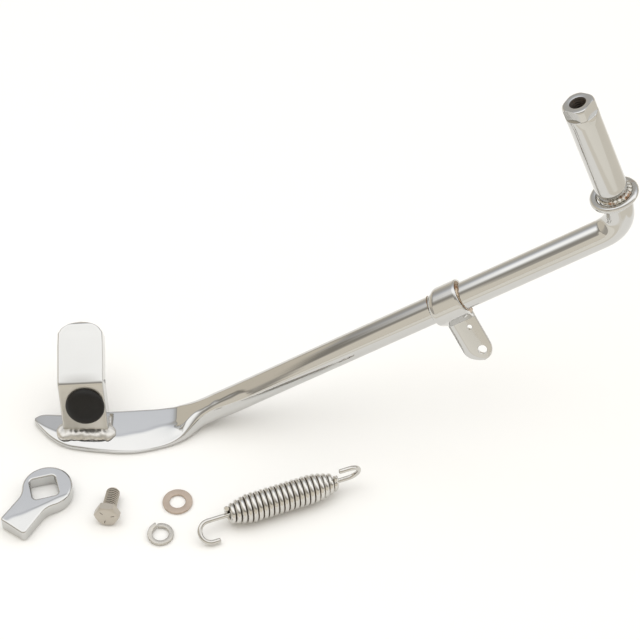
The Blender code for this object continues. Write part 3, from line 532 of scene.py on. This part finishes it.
def make_pivot_shaft():
    near = unit(TOWARDS_CAMERA - CAMERA_ALONG_PIVOT * PIVOT_DIR)
    side = spoke((near, cross(PIVOT_DIR, near)), radians(DRIVE_CLOCK + 45))
    half_flat = degrees(acos(DRIVE_HALF / SHAFT_R))
    step = (*linspace(-half_flat, half_flat, 19), *linspace(half_flat, 90 - half_flat, 8)[1:-1])
    turns = np.radians([start + a for start in (0, 90, 180, 270) for a in step])
    spokes = np.outer(np.cos(turns), side) + np.outer(np.sin(turns), cross(PIVOT_DIR, side))
    square = DRIVE_HALF / np.maximum(abs(np.cos(turns)), abs(np.sin(turns)))
    drive_top, thread_top = SHAFT_END - DRIVE_ROUND, SHAFT_END - THREAD_TOP
    outside = [(SHAFT_BASE, UNDERCUT_R - 0.2), (SHAFT_BASE + 0.2, UNDERCUT_R),
        (UNDERCUT_TOP - 0.7, UNDERCUT_R), (UNDERCUT_TOP - 0.2, SHAFT_R - 0.1), (UNDERCUT_TOP + 0.2, SHAFT_R)]
    outside += [(t, SHAFT_R) for t in linspace(30, SHAFT_LEDGE - 0.35, 12)]
    outside += [(SHAFT_LEDGE - 0.1, SHAFT_R - 0.1), (SHAFT_LEDGE, SHAFT_R - 0.35)]
    drive = [(SHAFT_LEDGE + 0.02, SHAFT_R - 0.35), (SHAFT_LEDGE + 0.3, SHAFT_R)]
    drive += [(drive_top + DRIVE_ROUND * sin(a), SHAFT_R - 1.3 * (1 - cos(a))) for a in quarter(7)]
    outside += [(height, np.minimum(reach, square)) for height, reach in drive]
    outside += [(SHAFT_END, 5), (SHAFT_END - 0.15, COUNTERSINK_R), (thread_top, THREAD_R + 0.05)]
    steps = 90
    for k in range(1, steps + 1):
        deep = THREAD_RUN * k / steps
        crest = abs(2 * ((deep / THREAD_PITCH + turns / (2 * pi)) % 1) - 1)
        crest = np.maximum(1 - k / 8, np.clip(crest * 1.3 - 0.2, 0, 1))
        outside.append((thread_top - deep, THREAD_DRILL_R + TAPPED_DEPTH * crest))
    outside += [(SHAFT_END - BORE_DEPTH, THREAD_DRILL_R), (SHAFT_END - BORE_DEPTH - 1.9, 0.4)]
    rings = [rim(ELBOW, PIVOT_DIR, height, spokes, reach) for height, reach in outside]

    def in_bore(point):
        height, r = from_axis(ELBOW, PIVOT_DIR, point)
        return height > SHAFT_END - BORE_DEPTH - 2 and r < COUNTERSINK_R + 0.15

    fine("pivot_shaft", loft(rings), CHROME_SHAFT, "stand", 28, (BORE_DARK, in_bore))

    ring_points = ring_profile(COLLAR_IN_R, COLLAR_OUT_R, COLLAR_BOTTOM, COLLAR_TOP, 1.6, 9)
    pair = axis_pair(PIVOT_DIR)

    def stained(point):
        """The heat of the weld marks the ring's inner top on the side away from the foot."""
        height, r = from_axis(ELBOW, PIVOT_DIR, point)
        away = degrees(atan2(*(dot(point - ELBOW, way) for way in pair[::-1]))) % 360 - AWAY_FROM_FOOT
        reach = 12.3 - 1.6 * ease(abs(away), 40, WELD_SPAN) + 0.5 * lumps(point, 1.3)
        return height > COLLAR_TOP - 0.9 and r < reach and abs(away) < WELD_SPAN

    fine("shaft_collar", turned(ELBOW, PIVOT_DIR, ring_points, 144, True), CHROME_RING,
        "stand", 50, (WELD_STAIN, stained))

    # Weld between shaft and collar: overlapping ripples that bow along the bead, fullest away from the foot.
    base = ELBOW + PIVOT_DIR * (COLLAR_TOP + GAP * 0.4)
    ripples, wide, high = 24, 2, 1.6
    rings = []
    for a in linspace(0, 2 * pi, BEAD_STEPS, False):
        out = spoke(pair, a)
        full = 0.32 + 0.68 * ease(-abs(degrees(a) - AWAY_FROM_FOOT), -WELD_SPAN, -72)

        def swell(b):
            return full * (1 + 0.09 * cos(a * ripples + 1.6 * sin(2 * b)) + 0.12 * lumps(out * 9, 2.6))

        rings.append(bead(base + out * (UNDERCUT_R + 0.1), out * wide, PIVOT_DIR * high, 13, swell))
    fine("collar_weld", loft(rings, True), WELD_COLLAR, "stand", 60)


# ---- toe tab, its weld and the bumper


def make_toe_tab():
    roll, heading, lean = radians(TAB_ROLL), radians(TAB_TURN), radians(TAB_LEAN)
    across = array([cos(roll) * cos(heading), cos(roll) * sin(heading), sin(roll)])
    slope = array([0, sin(lean), cos(lean)])
    lower = unit(slope - dot(slope, across) * across)
    front = cross(across, lower)
    fold = radians(TAB_BEND)
    upper = lower * cos(fold) - front * sin(fold)
    upper_front = front * cos(fold) + lower * sin(fold)
    half = TAB_THICK / 2
    middle = TAB_CORNER + across * TAB_WIDTH / 2
    crease = middle + lower * TAB_LOWER
    past_fold, back_r, crown_high = 1.4, 1.2, 0.18

    def ring(centre, through, half_w, half_t, edge, crown=0):
        points = []
        for x, y in rounded_section(half_w, half_t, min(edge, half_w, half_t), 7, 12):
            bulge = crown * (1 - (x / (TAB_WIDTH / 2)) ** 2)
            points.append(centre + across * x + through * (y + (bulge if y > 0 else 0)))
        return points

    base = ring(middle - front * half, front, TAB_WIDTH / 2, half, TAB_EDGE)
    pad_top = 2 * PAD_HALF + 0.1
    rings = [[p + lower * (pad_top - p[2]) / lower[2] for p in base]]
    rings += [ring(middle - front * half + lower * t, front, TAB_WIDTH / 2, half, TAB_EDGE)
        for t in (4, 12, 20, 27)]
    back_corner = crease - unit(front + upper_front) * TAB_THICK / cos(fold / 2)
    front_arc = bend(crease, lower, upper, CREASE_R * tan(fold / 2), 10)
    back_arc = bend(back_corner, lower, upper, back_r * tan(fold / 2), 10)
    for (f, _), (b, _) in zip(front_arc, back_arc):
        rings.append(ring((f + b) / 2, unit(f - b), TAB_WIDTH / 2, np.linalg.norm(f - b) / 2, TAB_EDGE))
    rise = TAB_LENGTH - TAB_UPPER
    end_r = ((TAB_WIDTH / 2) ** 2 + rise ** 2) / (2 * rise)
    shares = [0.02, 0.15, 0.35, 0.6, 0.8] + [0.8 + 0.2 * sin(a) for a in quarter(16)[1:]]
    for share in shares:
        along = past_fold + (TAB_LENGTH - past_fold) * share
        past = max(0, along - TAB_UPPER)
        half_w = sqrt(max(end_r ** 2 - (end_r - rise + past) ** 2, 1.6 ** 2))
        shoulder = max(0, 1 - abs(along - TAB_UPPER - 0.4) / 2.4)
        half_w = min(half_w, TAB_WIDTH / 2) - 0.7 * shoulder ** 2
        rounding = 2.2 * max(0, 1 - (TAB_LENGTH - along) / 2.6) ** 2
        centre = crease + upper * along - upper_front * half
        rings.append(ring(centre, upper_front, half_w, half - rounding, TAB_EDGE + rounding,
            crown_high * sin(pi * min(1, along / TAB_UPPER)) ** 0.5 if along < TAB_UPPER else 0))

    def on_front(point):
        return dot(point - TAB_CORNER, front) > -0.35 and dot(point - TAB_CORNER, lower) < TAB_LOWER - 0.8

    fine("toe_tab", loft(rings), CHROME_TAB, "stand", 40, (CHROME_SATIN, on_front))

    seat = TAB_CORNER + across * BUMPER_ACROSS + lower * BUMPER_UP
    profile = [(0.5, GAP / 2), (BUMPER_R - 0.5, GAP / 2), (BUMPER_R - 0.1, GAP + 0.2), (BUMPER_R, GAP + 0.6)]
    for a in linspace(0, radians(88), 26)[1:]:
        profile.append((BUMPER_R * cos(a) ** 0.55, 1.2 + (BUMPER_PROUD - 1.2) * sin(a) ** 1.15))
    profile.append((0.15, BUMPER_PROUD))
    fine("bumper", turned(seat, front, profile, 120), rubber(), "stand", 40)

    # Fillet weld round the tab's foot, in overlapping beads and widest at its near corners.
    ends = rings[0] + rings[0][:1]
    lengths = np.cumsum([0] + [np.linalg.norm(b - a) for a, b in zip(ends, ends[1:])])
    heart = sum(rings[0]) / len(rings[0])
    weld = []
    for d in linspace(0, lengths[-1], BEAD_STEPS, False):
        k = int(np.searchsorted(lengths, d, side="right") - 1)
        one, two = ends[k], ends[k + 1]
        point = one + (two - one) * (d - lengths[k]) / (lengths[k + 1] - lengths[k])
        away = point - heart
        normal = unit(cross(two - one, UP))
        normal = -normal if dot(normal, away) < 0 else normal
        pull = unit(normal + 0.45 * unit(array([away[0] / 1.9, away[1], 0.0])))
        corner = ease(abs(away[0]), 8.5, 12) * ease(-away[1], 1, 5)
        behind = 1 - 0.62 * ease(away[1], -3.2, 0.5)
        wide = (3.3 + 1.7 * max(0, -pull[1]) - 2.2 * max(0, pull[1])) * (1 + 0.14 * corner) * behind
        high = (3.5 - 1.6 * max(0, pull[1])) * (1 - 0.1 * corner) * behind

        def swell(b):
            ripple = 0.025 * cos(2 * pi * d / 2.9 + 1.8 * sin(2 * b))
            return 0.93 + ripple + 0.09 * lumps(point + pull * 3 * cos(b) + UP * 3 * sin(b), 4.2)

        weld.append(bead(point + normal * 0.05, pull * wide, lower * high, 11, swell, 0.8))
    fine("toe_tab_weld", loft(weld, True), WELD_TAB, "stand", 70)


# ---- spring bracket


def make_bracket():
    along = LEG_DIR
    down = unit(BRACKET_DIR - dot(BRACKET_DIR, along) * along)
    facing = cross(down, along)
    facing = facing if facing[1] < 0 else -facing
    pair = (down, facing)
    centre = ELBOW + along * STRAP_AT
    middle_r = STRAP_IN_R + SHEET / 2
    leaves = radians(STRAP_LEAVES)
    run = (middle_r * sin(leaves) + STRAP_IN_R - SHEET * 0.45) / cos(leaves)

    def ring(point, through, half_w, shift=0, edge=0.75, taper=0, bevel=0):
        points = []
        for x, y in rounded_section(half_w, SHEET / 2, edge, 5, 14):
            # The tab's face is slightly crowned and bevelled along its edge nearest the foot.
            if bevel and y < 0:
                y += bevel * max(0, min(1, (x - half_w + 3.6) / 3.2)) + 0.35 * bevel * (x / TIP_R) ** 2
            # One edge of the strap is dressed down onto the bar.
            if taper and y > 0:
                y -= 1.1 * taper * max(0, (x - half_w + 2.4) / 2.4) ** 2
            points.append(point + along * (x + shift) + through * y)
        return points

    def tab_ring(q, half_w, shift, bevel, edge=0.75):
        return ring(centre + down * q - facing * middle_r, -facing, half_w, shift, edge, bevel=bevel)

    rings = []
    tip_at = BRACKET_TIP - TIP_R
    for k in range(15):
        a = radians(90 * (1 - k / 15)) * 0.985
        round_w = TIP_R * cos(a)
        shift = TAB_SET_OFF * (1 - 0.75 * sin(a) ** 2)
        rings.append(tab_ring(tip_at + TIP_R * sin(a), max(0.6, round_w), shift,
            TAB_BEVEL * min(1, round_w / 5), min(0.6, 0.3 + round_w)))
    for q in (*linspace(tip_at, 14.5, 8), 13, 11.5, 10, 6, 3):
        rings.append(tab_ring(q, BRACKET_HALF + (STRAP_HALF - BRACKET_HALF) * ease(-q, -13, -9),
            TAB_SET_OFF * ease(q, 3, 10), TAB_BEVEL * ease(q, 3, 13)))
    for a in linspace(radians(270), leaves, 64):
        out = spoke(pair, a)
        top = ease(degrees(a), 70, 125)
        narrow = STRAP_NARROW * ease(degrees(a), 105, 190)
        rings.append(ring(centre + out * middle_r, out, STRAP_HALF - narrow / 2, -narrow / 2, taper=top))
    heading = down * sin(leaves) - facing * cos(leaves)
    for d in linspace(run / 10, run, 10):
        cut = ease(d, 0, run)
        half_w = STRAP_HALF - STRAP_CUT * cut
        rings.append(ring(centre + out * middle_r + heading * d, out, half_w, STRAP_SHIFT * cut))
    bracket = add_piece("spring_bracket_fine", loft(rings), CHROME_BRACKET, None, (), 40)
    # Bronze run into the wedge between the bar, the strap's straight end and the tab.
    wedge = [(BAR_R + 0.2, leaves), (middle_r, leaves - 0.05), (middle_r + 1.6, 0), (middle_r + 3.4, -0.45),
        (STRAP_IN_R + 1.6, -0.75), (BAR_R + 0.2, -0.75), (BAR_R + 0.2, -0.3)]
    faces = [[centre + along * side + r * spoke(pair, a) for r, a in wedge]
        for side in (0.5 - STRAP_HALF, STRAP_HALF - 0.5)]
    add_piece("bracket_wedge_fill", loft(faces), BRAZE, "stand")
    for at, radius in ((SMALL_HOLE_AT, SMALL_HOLE_R), (BIG_HOLE_AT, BIG_HOLE_R)):
        low = STRAP_IN_R + SHEET + 0.01
        drill = turned(centre + down * at - along * HOLE_SET_OFF, facing,
            [(radius + 2.2, -low - 2), (radius, -low + 0.2), (radius, -STRAP_IN_R - 0.2),
            (radius + 2.2, -STRAP_IN_R + 2)], 64)
        tool = add_piece("drill", drill, CHROME_BRACKET, None)
        step = bracket.modifiers.new("hole", "BOOLEAN")
        step.operation, step.solver, step.object = "DIFFERENCE", "EXACT", tool
        shapes = bpy.context.evaluated_depsgraph_get()
        drilled = bpy.data.meshes.new_from_object(bracket.evaluated_get(shapes))
        bracket.modifiers.clear()
        bracket.data = drilled
        bpy.data.objects.remove(tool)
    bracket.data.set_sharp_from_angle(angle=radians(34))
    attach(bracket, "stand")
    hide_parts("spring_bracket")

    for name, sign, least in (("bracket_braze_left", 1, 0.3), ("bracket_braze_right", -1, 0.36)):
        rings = []
        for turn in linspace(-15, 200, 200):
            out = spoke(pair, radians(turn))
            ends = min(1, 0.3 + min(turn + 15, 200 - turn) / 15.1256)
            top = ease(turn, 75, 150) if sign < 0 else 0.05
            size = (least + 0.9 * top) * ends
            root = centre + along * sign * (STRAP_HALF + 0.05) + out * (BAR_R + 0.05)

            def swell(b):
                return size * (1 + 0.25 * lumps(root + out * 2 * sin(b), 2))

            rings.append(bead(root, along * sign, out * (1.1 + 0.2 * top), 7, swell))
        fine(name, loft(rings), BRAZE, "stand", 70)


# ---- stop cam
RIDGE_FROM, RIDGE_ACROSS = array([-159.0, -150.0, 0.0]), array([-0.5, 0.866, 0.0])
TAIL_ROUND, TOP_ROUND, FOOT_ROUND = 2.2, 1.3, 0.8
CAM_FALL, CAM_STEP, CAM_LEAN = 0.125, 0.1, 0.028  # near the rim, at the ridge, and over the rest


def make_cam():
    x_dir, y_dir = level_pair(CAM_TURN)
    right_y, left_y = TAIL_RIGHT + NECK_FILLET, TAIL_LEFT + NECK_FILLET
    right_x, left_x = (sqrt((CAM_HEAD_R + NECK_FILLET) ** 2 - y ** 2) for y in (right_y, left_y))
    right_touch, left_touch = atan2(right_y, right_x), atan2(left_y, left_x)
    end_right, end_left = TAIL_END_RIGHT - TAIL_ROUND, TAIL_END_LEFT - TAIL_ROUND

    def arc(x, y, radius, angles):
        return [(x + radius * cos(a), y - radius * sin(a)) for a in angles]

    def line(one, two, count):
        """Points between two ends, without the ends."""
        return [tuple(array(one) + np.subtract(two, one) * t) for t in linspace(0, 1, count)[1:-1]]

    edge_points = array(arc(0, 0, CAM_HEAD_R, linspace(left_touch, 2 * pi - right_touch, 120))
        + arc(right_x, right_y, NECK_FILLET, linspace(pi - right_touch, pi / 2, 20)[1:])
        + line((right_x, TAIL_RIGHT), (end_right, TAIL_RIGHT), 12)
        + arc(end_right, TAIL_RIGHT - TAIL_ROUND, TAIL_ROUND, linspace(-pi / 2, 0, 12))
        + line((TAIL_END_RIGHT, TAIL_RIGHT - TAIL_ROUND), (TAIL_END_LEFT, TAIL_ROUND - TAIL_LEFT), 14)
        + arc(end_left, TAIL_ROUND - TAIL_LEFT, TAIL_ROUND, quarter(11))
        + line((end_left, -TAIL_LEFT), (left_x, -TAIL_LEFT), 12)
        + arc(left_x, -left_y, NECK_FILLET, -linspace(pi / 2, pi - left_touch, 20)[:-1]))
    hole = array([CAM_HOLE_AT[0], -CAM_HOLE_AT[1]])

    def hole_point(direction, grow):
        """Where a ray from the hole's middle meets the rounded square."""
        local = direction + radians(CAM_HOLE_TURN)
        c, s = abs(cos(local)), abs(sin(local))
        reach = (CAM_HOLE_HALF + grow) / max(c, s)
        corner_at = CAM_HOLE_HALF - CAM_HOLE_CORNER
        if min(c, s) * reach > corner_at:
            along = corner_at * (c + s)
            reach = along + sqrt(max(0, along ** 2 - 2 * corner_at ** 2 + (CAM_HOLE_CORNER + grow) ** 2))
        return hole + reach * array([cos(direction), sin(direction)])

    rays = [atan2(*(p - hole)[::-1]) for p in edge_points]
    step = np.roll(edge_points, -1, axis=0) - np.roll(edge_points, 1, axis=0)
    outward = np.column_stack([step[:, 1], -step[:, 0]]) / np.linalg.norm(step, axis=1)[:, None]
    outward *= np.sign(dot(outward[0], edge_points[0]))

    def place(p, z):
        return CAM_CENTRE + x_dir * p[0] + y_dir * p[1] + UP * z

    def top_z(p):
        """Polished top: flat, then past a soft ridge it falls away towards the near rim."""
        world = place(p, 0)
        past = float(dot(RIDGE_FROM - world, RIDGE_ACROSS)) + 0.5 * lumps((world[0], 0, 3), 7)
        fall = CAM_FALL * (sqrt(past * past + 0.8) + past) / 2
        return CAM_THICK - CAM_STEP * (1 - ease(past, -1.6, -0.3)) - CAM_LEAN * max(0, -past) - fall

    foot, lip = CAM_CHAMFER * 0.4, CAM_CHAMFER * 1.3
    rings = [[place(hole_point(a, grow), foot - grow) for a in rays] for grow in (foot, 0)]
    for b in quarter(8):
        inner = [hole_point(a, lip * (1 - cos(b))) for a in rays]
        rings.append([place(p, top_z(p) - lip * (1 - sin(b))) for p in inner])
    outer = edge_points - outward * TOP_ROUND
    for t in linspace(0, 1, 40)[1:]:
        rings.append([place(p, top_z(p)) for p in inner + (outer - inner) * t])
    for a in quarter(6)[1:]:
        rings.append([place(p + o * TOP_ROUND * sin(a), top_z(p) - TOP_ROUND * (1 - cos(a)))
            for p, o in zip(outer, outward)])
    for a in quarter(4):
        rings.append([place(p, FOOT_ROUND * (1 - sin(a)))
            for p in edge_points - outward * FOOT_ROUND * (1 - cos(a))])
    fine("leg_stop_cam", loft(rings, True), CHROME_CAM, "cam", 36)


# ---- screw and washers


HEAD_PROFILE = (
    (0, 0.3), (0, 2.5), (0, 4.4), (0.02, 5.6), (0.06, 5.9), (0.25, 6.15), (0.5, 6.55), (0.8, 6.95),
    (1.05, HEX_HALF * 2), (HEX_HEIGHT - 0.6, HEX_HALF * 2), (HEX_HEIGHT - 0.3, 7.1), (HEX_HEIGHT - 0.1, 6.6),
    (HEX_HEIGHT, HEX_HALF - 0.15), (HEX_HEIGHT, 4.6))


def make_bolt():
    azimuth, dip = radians(BOLT_AZIMUTH), radians(BOLT_DIP)
    axis = array([cos(azimuth) * cos(dip), sin(azimuth) * cos(dip), -sin(dip)])
    side, other = axis_pair(axis)
    turns = linspace(0, 2 * pi, 96, False)
    spokes = np.outer(np.sin(turns), side) + np.outer(np.cos(turns), other)
    hexagon = HEX_HALF / np.cos((turns + pi / 6) % (pi / 3) - pi / 6)
    outside = [(height, np.minimum(limit, hexagon)) for height, limit in HEAD_PROFILE]
    shank = BOLT_LENGTH - HEX_HEIGHT
    for up in linspace(0.02, shank, int(shank / THREAD_PITCH * 12) + 1):
        phase = (up / THREAD_PITCH + turns / (2 * pi)) % 1
        depth = np.clip((1 - abs(2 * phase - 1)) * 1.35 - 0.18, 0, 1) * ease(up, 0.8, 2.2)
        pointed = THREAD_ROOT_R - 0.25 + (shank - up) * 0.85
        outside.append((HEX_HEIGHT + up, np.minimum(THREAD_R - 0.02 - BOLT_DEPTH * depth, pointed)))
    outside.append((BOLT_LENGTH, 0.3))
    rings = [rim(BOLT_FACE, axis, height, spokes, reach) for height, reach in outside]

    # Faces deep in the thread's valleys wear the dark material: painted shade in the thread roots.
    def in_painted_thread_shade(p):
        height, r = from_axis(BOLT_FACE, axis, p)
        return HEX_HEIGHT + 0.3 < height < BOLT_LENGTH - 0.8 and r < THREAD_R - 0.42

    fine("hex_bolt", loft(rings), ZINC_BOLT, "bolt", 30, (PAINTED_SHADE_DARK, in_painted_thread_shade))

    # Three radial ribs on the head's face, as strength marks have them on any such screw; they wear the dark
    # thread-root material, painted shade that draws each mark as a dark line.
    for k in range(3):
        a = radians(-14 + 120 * k)
        out, wide = spoke((other, side), a), spoke((side, -other), a)
        rings = []
        for r, half_w, rise in ((2.6, 0.06, 0.01), (2.8, 0.3, 0.04), (4.7, 0.3, 0.04), (4.9, 0.06, 0.01)):
            middle = BOLT_FACE + out * r
            rings.append([middle - wide * half_w + axis * 0.05, middle - wide * half_w * 0.6 - axis * rise,
                middle + wide * half_w * 0.6 - axis * rise, middle + wide * half_w + axis * 0.05])
        add_piece(f"bolt_head_rib_{k + 1}", loft(rings), PAINTED_SHADE_DARK, "bolt")


def make_washers():
    mid_r, half_w, half_t = (LOCK_IN_R + LOCK_OUT_R) / 2, (LOCK_OUT_R - LOCK_IN_R) / 2, LOCK_THICK / 2
    rings = []
    for share in linspace(0, 1, 201):
        out = level_pair(LOCK_SPLIT + LOCK_SLOT / 2 + (360 - LOCK_SLOT) * share)[0]
        rise = LOCK_RISE * max(0, 1 - share * 2.2) ** 2
        inset = 0.14 * (share in (0, 1))
        rings.append(section_ring(LOCK_CENTRE + out * mid_r + UP * (half_t + rise), out, UP,
            half_w - inset, half_t - inset, 0.42, 5))
    fine("lock_washer", loft(rings), ZINC_LOCK, "lock", 40)
    ring = ring_profile(FLAT_IN_R, FLAT_OUT_R, 0, FLAT_THICK, 0.38, 5)
    fine("flat_washer", turned(FLAT_CENTRE, UP, ring, 128, True), BROWN_ZINC, "washer", 40)


# ---- return spring


def make_spring():
    axis, near = level_pair(COIL_AZIMUTH)
    steps, sides = int(COIL_TURNS * 44), 12
    long = COIL_LENGTH - 2 * WIRE_R

    def coil_radius(turn):
        cone = min(1, max(0, min(turn, COIL_TURNS - turn) / CONE_TURNS))
        return CONE_R + (COIL_R - CONE_R) * (1 - (1 - cone) ** 1.35)

    points, outs = [], []
    for turn in linspace(0, COIL_TURNS, steps + 1):
        stub = STUB_RISE * max(0, 1 - min(turn, COIL_TURNS - turn) / STUB_TURN)
        outs.append(spoke((near, UP), radians(COIL_CLOCK) + 2 * pi * turn))
        along = WIRE_R + long * turn / COIL_TURNS
        points.append(COIL_START + axis * along + outs[-1] * (coil_radius(turn) + stub))

    # Faces on the inner side of the wire, where the turns face each other, wear painted shade between the
    # turns.
    def in_painted_gap_shade(point):
        height, r = from_axis(COIL_START, axis, point)
        turn = (height - WIRE_R) / long * COIL_TURNS
        return turn > 0.6 and r < coil_radius(turn) + WIRE_R * 0.42

    rings = []
    for i in range(steps + 1):
        tangent = unit(points[min(i + 1, steps)] - points[max(i - 1, 0)])
        across = unit(outs[i] - dot(outs[i], tangent) * tangent)
        pair = (across, cross(tangent, across))
        radius = WIRE_R if 0 < i < steps else WIRE_R * 0.8
        rings.append([points[i] + radius * spoke(pair, 2 * pi * k / sides) for k in range(sides)])
    coil = add_piece("spring_coil_fine", loft(rings), SPRING_WIRE, None, (), 50,
        (SPRING_GAP_PAINTED_SHADE, in_painted_gap_shade))
    coil_end = COIL_START + axis * COIL_LENGTH
    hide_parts("spring_coil")
    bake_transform(coil)

    pulled_end = coil_end - axis * HOOK_PUSHED
    for name, body, end, outward, swivel, tip in (
            ("spring_hook_left", "hook_left", COIL_START, -axis, LEFT_SWIVEL, LEFT_TIP),
            ("spring_hook_right", "hook_right", pulled_end, axis, RIGHT_SWIVEL, RIGHT_TIP)):
        swing = spoke((near, UP), radians(swivel))
        path = [(end - outward * (HOOK_HEAD_IN - d), outward, r) for d, r in
            ((0, 0.8), (0.5, HOOK_HEAD_R - 0.7), (1.2, HOOK_HEAD_R), (2.6, HOOK_HEAD_R),
            (4, HOOK_R + 1.2), (5.5, HOOK_R + 0.5), (8, HOOK_R))]
        path += [(end + outward * d, outward, HOOK_R) for d in (0, 2)]
        corner = end + outward * (HOOK_SHANK + HOOK_SPAN / 2)
        arcs = bend(corner, outward, swing, HOOK_SPAN / 2, 22)
        arcs += bend(corner + swing * HOOK_SPAN, swing, -outward, HOOK_SPAN / 2, 22)[1:]
        path += [(p, t, HOOK_R) for p, t in arcs]
        path += [(arcs[-1][0] - outward * (tip + d), -outward, HOOK_R - less) for d, less in
            ((0, 0), (0.4, 0.1), (0.7, 0.4), (0.8, 0.8))]
        plane = cross(outward, swing)
        fine(name, loft([path_ring(p, t, plane, r) for p, t, r in path]), HOOK_WIRE, body, 50)


make_leg_bar()
make_pivot_shaft()
make_toe_tab()
make_bracket()
make_cam()
make_bolt()
make_washers()
make_spring()

# ---- floor, light and camera
# White paper on a beige table, in metres.
SHEET_FRONT, TABLE_FRONT, SHEET_BACK, SHEET_SIDE = -0.205, -0.3, 0.6, 0.45


def make_floor():
    mesh = bmesh.new()
    bmesh.ops.create_grid(mesh, x_segments=8, y_segments=8, size=3)
    data = bpy.data.meshes.new("studio_floor")
    mesh.to_mesh(data)
    mesh.free()
    floor = bpy.data.objects.new("studio_floor", data)
    floor.location = (0.0, 0.0, -0.0002)
    scene.collection.objects.link(floor)
    n = Nodes("floor_paper")
    parts = n.add("ShaderNodeSeparateXYZ", Vector=n.place).outputs

    def inside(value, limit, sign):
        """1 inside the limit, 0 past it, over a few centimetres."""
        gap = n.times(n.math("SUBTRACT", limit, value), sign)
        return n.add("ShaderNodeClamp", Value=n.times(gap, 30)).outputs[0]

    sheet = n.times(inside(parts[1], SHEET_FRONT, -1), inside(parts[1], SHEET_BACK, 1))
    side = n.times(inside(parts[0], SHEET_SIDE, 1), inside(parts[0], -SHEET_SIDE, -1))
    sheet = n.times(sheet, side)
    fibre = n.noise(900, 4, 0.6)
    white = n.mix(fibre, (0.985, 0.975, 0.955), (0.99, 0.985, 0.965))
    # The bare table is beige just past the paper and pale again farther off to the front.
    table = n.mix(inside(parts[1], TABLE_FRONT, -1), (0.97, 0.94, 0.87), (0.84, 0.8, 0.72))
    colour = n.mix(sheet, table, white)
    floor.data.materials.append(n.finish(colour, 0.9, n.bump(fibre, 0.00002, 0.3), 0))
    n.shader.inputs["Specular IOR Level"].default_value = 0.1


CHROME_SHARE = 0.6  # of the light that the chrome sends back
SKY_STRENGTH = 1.62


def seen(*tone):
    """Sky colour that looks like the given screen tone once the chrome has reflected it."""
    linear = (((v / 255 + 0.055) / 1.055) ** 2.4 for v in tone)
    return tuple(v / CHROME_SHARE / SKY_STRENGTH for v in linear)


# Tones by angle over the leg: 0 is straight up, negative is towards the front. The bright stretch is the
# softbox overhead, the dark ones are its frame, and the beige ones are the room.
SKY = ((-61, 195, 189, 177), (-57, 150, 146, 138), (-50, 129, 125, 119),
    (-41, 146, 143, 137), (-30, 183, 182, 178), (-20, 216, 215, 213), (-10, 238, 238, 237),
    (0, 243, 243, 242), (20, 242, 242, 242), (30, 228, 229, 230), (40, 193, 195, 200),
    (50, 170, 171, 173), (60, 158, 157, 154), (70, 160, 157, 152), (80, 169, 165, 156),
    (90, 181, 175, 163), (180, 184, 177, 163))
# Past the softbox's end towards the foot the room shows again, darker low down at the front.
SIDE_ROOM = ((-180, 152, 147, 138), (-70, 150, 146, 138), (-52, 166, 160, 150), (-38, 183, 176, 163),
    (180, 184, 177, 163))
FRAME_TONE = (122, 118, 111)
# Where the softbox ends, as the sideways part of the direction, by the same angle.
SOFTBOX_END = ((-90, 0.45), (-80, 0.55), (-70, 0.62), (-60, 0.69), (-50, 0.73), (-40, 0.765),
    (-30, 0.79), (-20, 0.81), (0, 0.825), (20, 0.815), (40, 0.78), (60, 0.7), (80, 0.57), (180, 0.5))


def make_world():
    n = Nodes("studio", world=True)
    scene.world = n.owner
    parts = n.add("ShaderNodeSeparateXYZ", Vector=n.place).outputs
    to_foot = n.times(parts[0], -1)
    angle = n.times(n.math("ARCTAN2", parts[1], parts[2]), 180 / pi)

    def by_angle(value, stops):
        """Tones, or bare numbers, by an angle."""
        places = (((a + 180) / 360, seen(*rest) if len(rest) == 3 else rest[0]) for a, *rest in stops)
        return n.ramp(n.share(value, -180, 180), *places)

    # The frame's front edge leans back towards the foot.
    lean = n.times(n.share(to_foot, 0.58, 0.84), 39)
    lean = n.times(lean, n.share(angle, 20, -30))
    main = by_angle(n.math("SUBTRACT", angle, lean), SKY)
    past_end = n.math("SUBTRACT", to_foot, by_angle(angle, SOFTBOX_END))
    width = n.plus(n.times(n.share(angle, -50, -35), 0.05), 0.02)
    near_end = n.share(n.math("DIVIDE", past_end, width), -1, -0.17)
    fading = n.times(n.share(angle, 20, 60), 0.5)
    near_end = n.times(near_end, n.math("SUBTRACT", 1, fading))
    colour = n.mix(near_end, main, seen(*FRAME_TONE))
    colour = n.mix(n.share(past_end, -0.008, 0.006), colour, by_angle(angle, SIDE_ROOM))
    n.feed(n.shader.inputs["Color"], colour)
    n.shader.inputs["Strength"].default_value = SKY_STRENGTH


def make_lamp():
    lamp = bpy.data.lights.new("soft_top", "AREA")
    lamp.shape, lamp.size, lamp.energy = "DISK", 0.9, 1.3
    thing = bpy.data.objects.new("soft_top", lamp)
    thing.location = (-0.25, -0.15, 1.1)
    thing.rotation_euler = (-thing.location).to_track_quat("-Z", "Y").to_euler()
    thing.visible_glossy = False
    scene.collection.objects.link(thing)


def make_camera():
    """Long lens, 48 degrees above the horizon, square on to the leg."""
    elevation, distance = radians(48), 1.227
    target = Vector((OFFSET[0] * MM, OFFSET[1] * MM, 0))
    data = bpy.data.cameras.new("camera")
    data.lens, data.sensor_width = 112.5, 36
    data.clip_start, data.clip_end = 0.05, 20
    camera = bpy.data.objects.new("camera", data)
    camera.location = target + distance * Vector((0.0, -cos(elevation), sin(elevation)))
    camera.rotation_euler = (pi / 2 - elevation, 0, 0)
    scene.collection.objects.link(camera)
    scene.camera = camera


make_floor()
make_world()
make_lamp()
make_camera()
scene.view_settings.view_transform = "Standard"
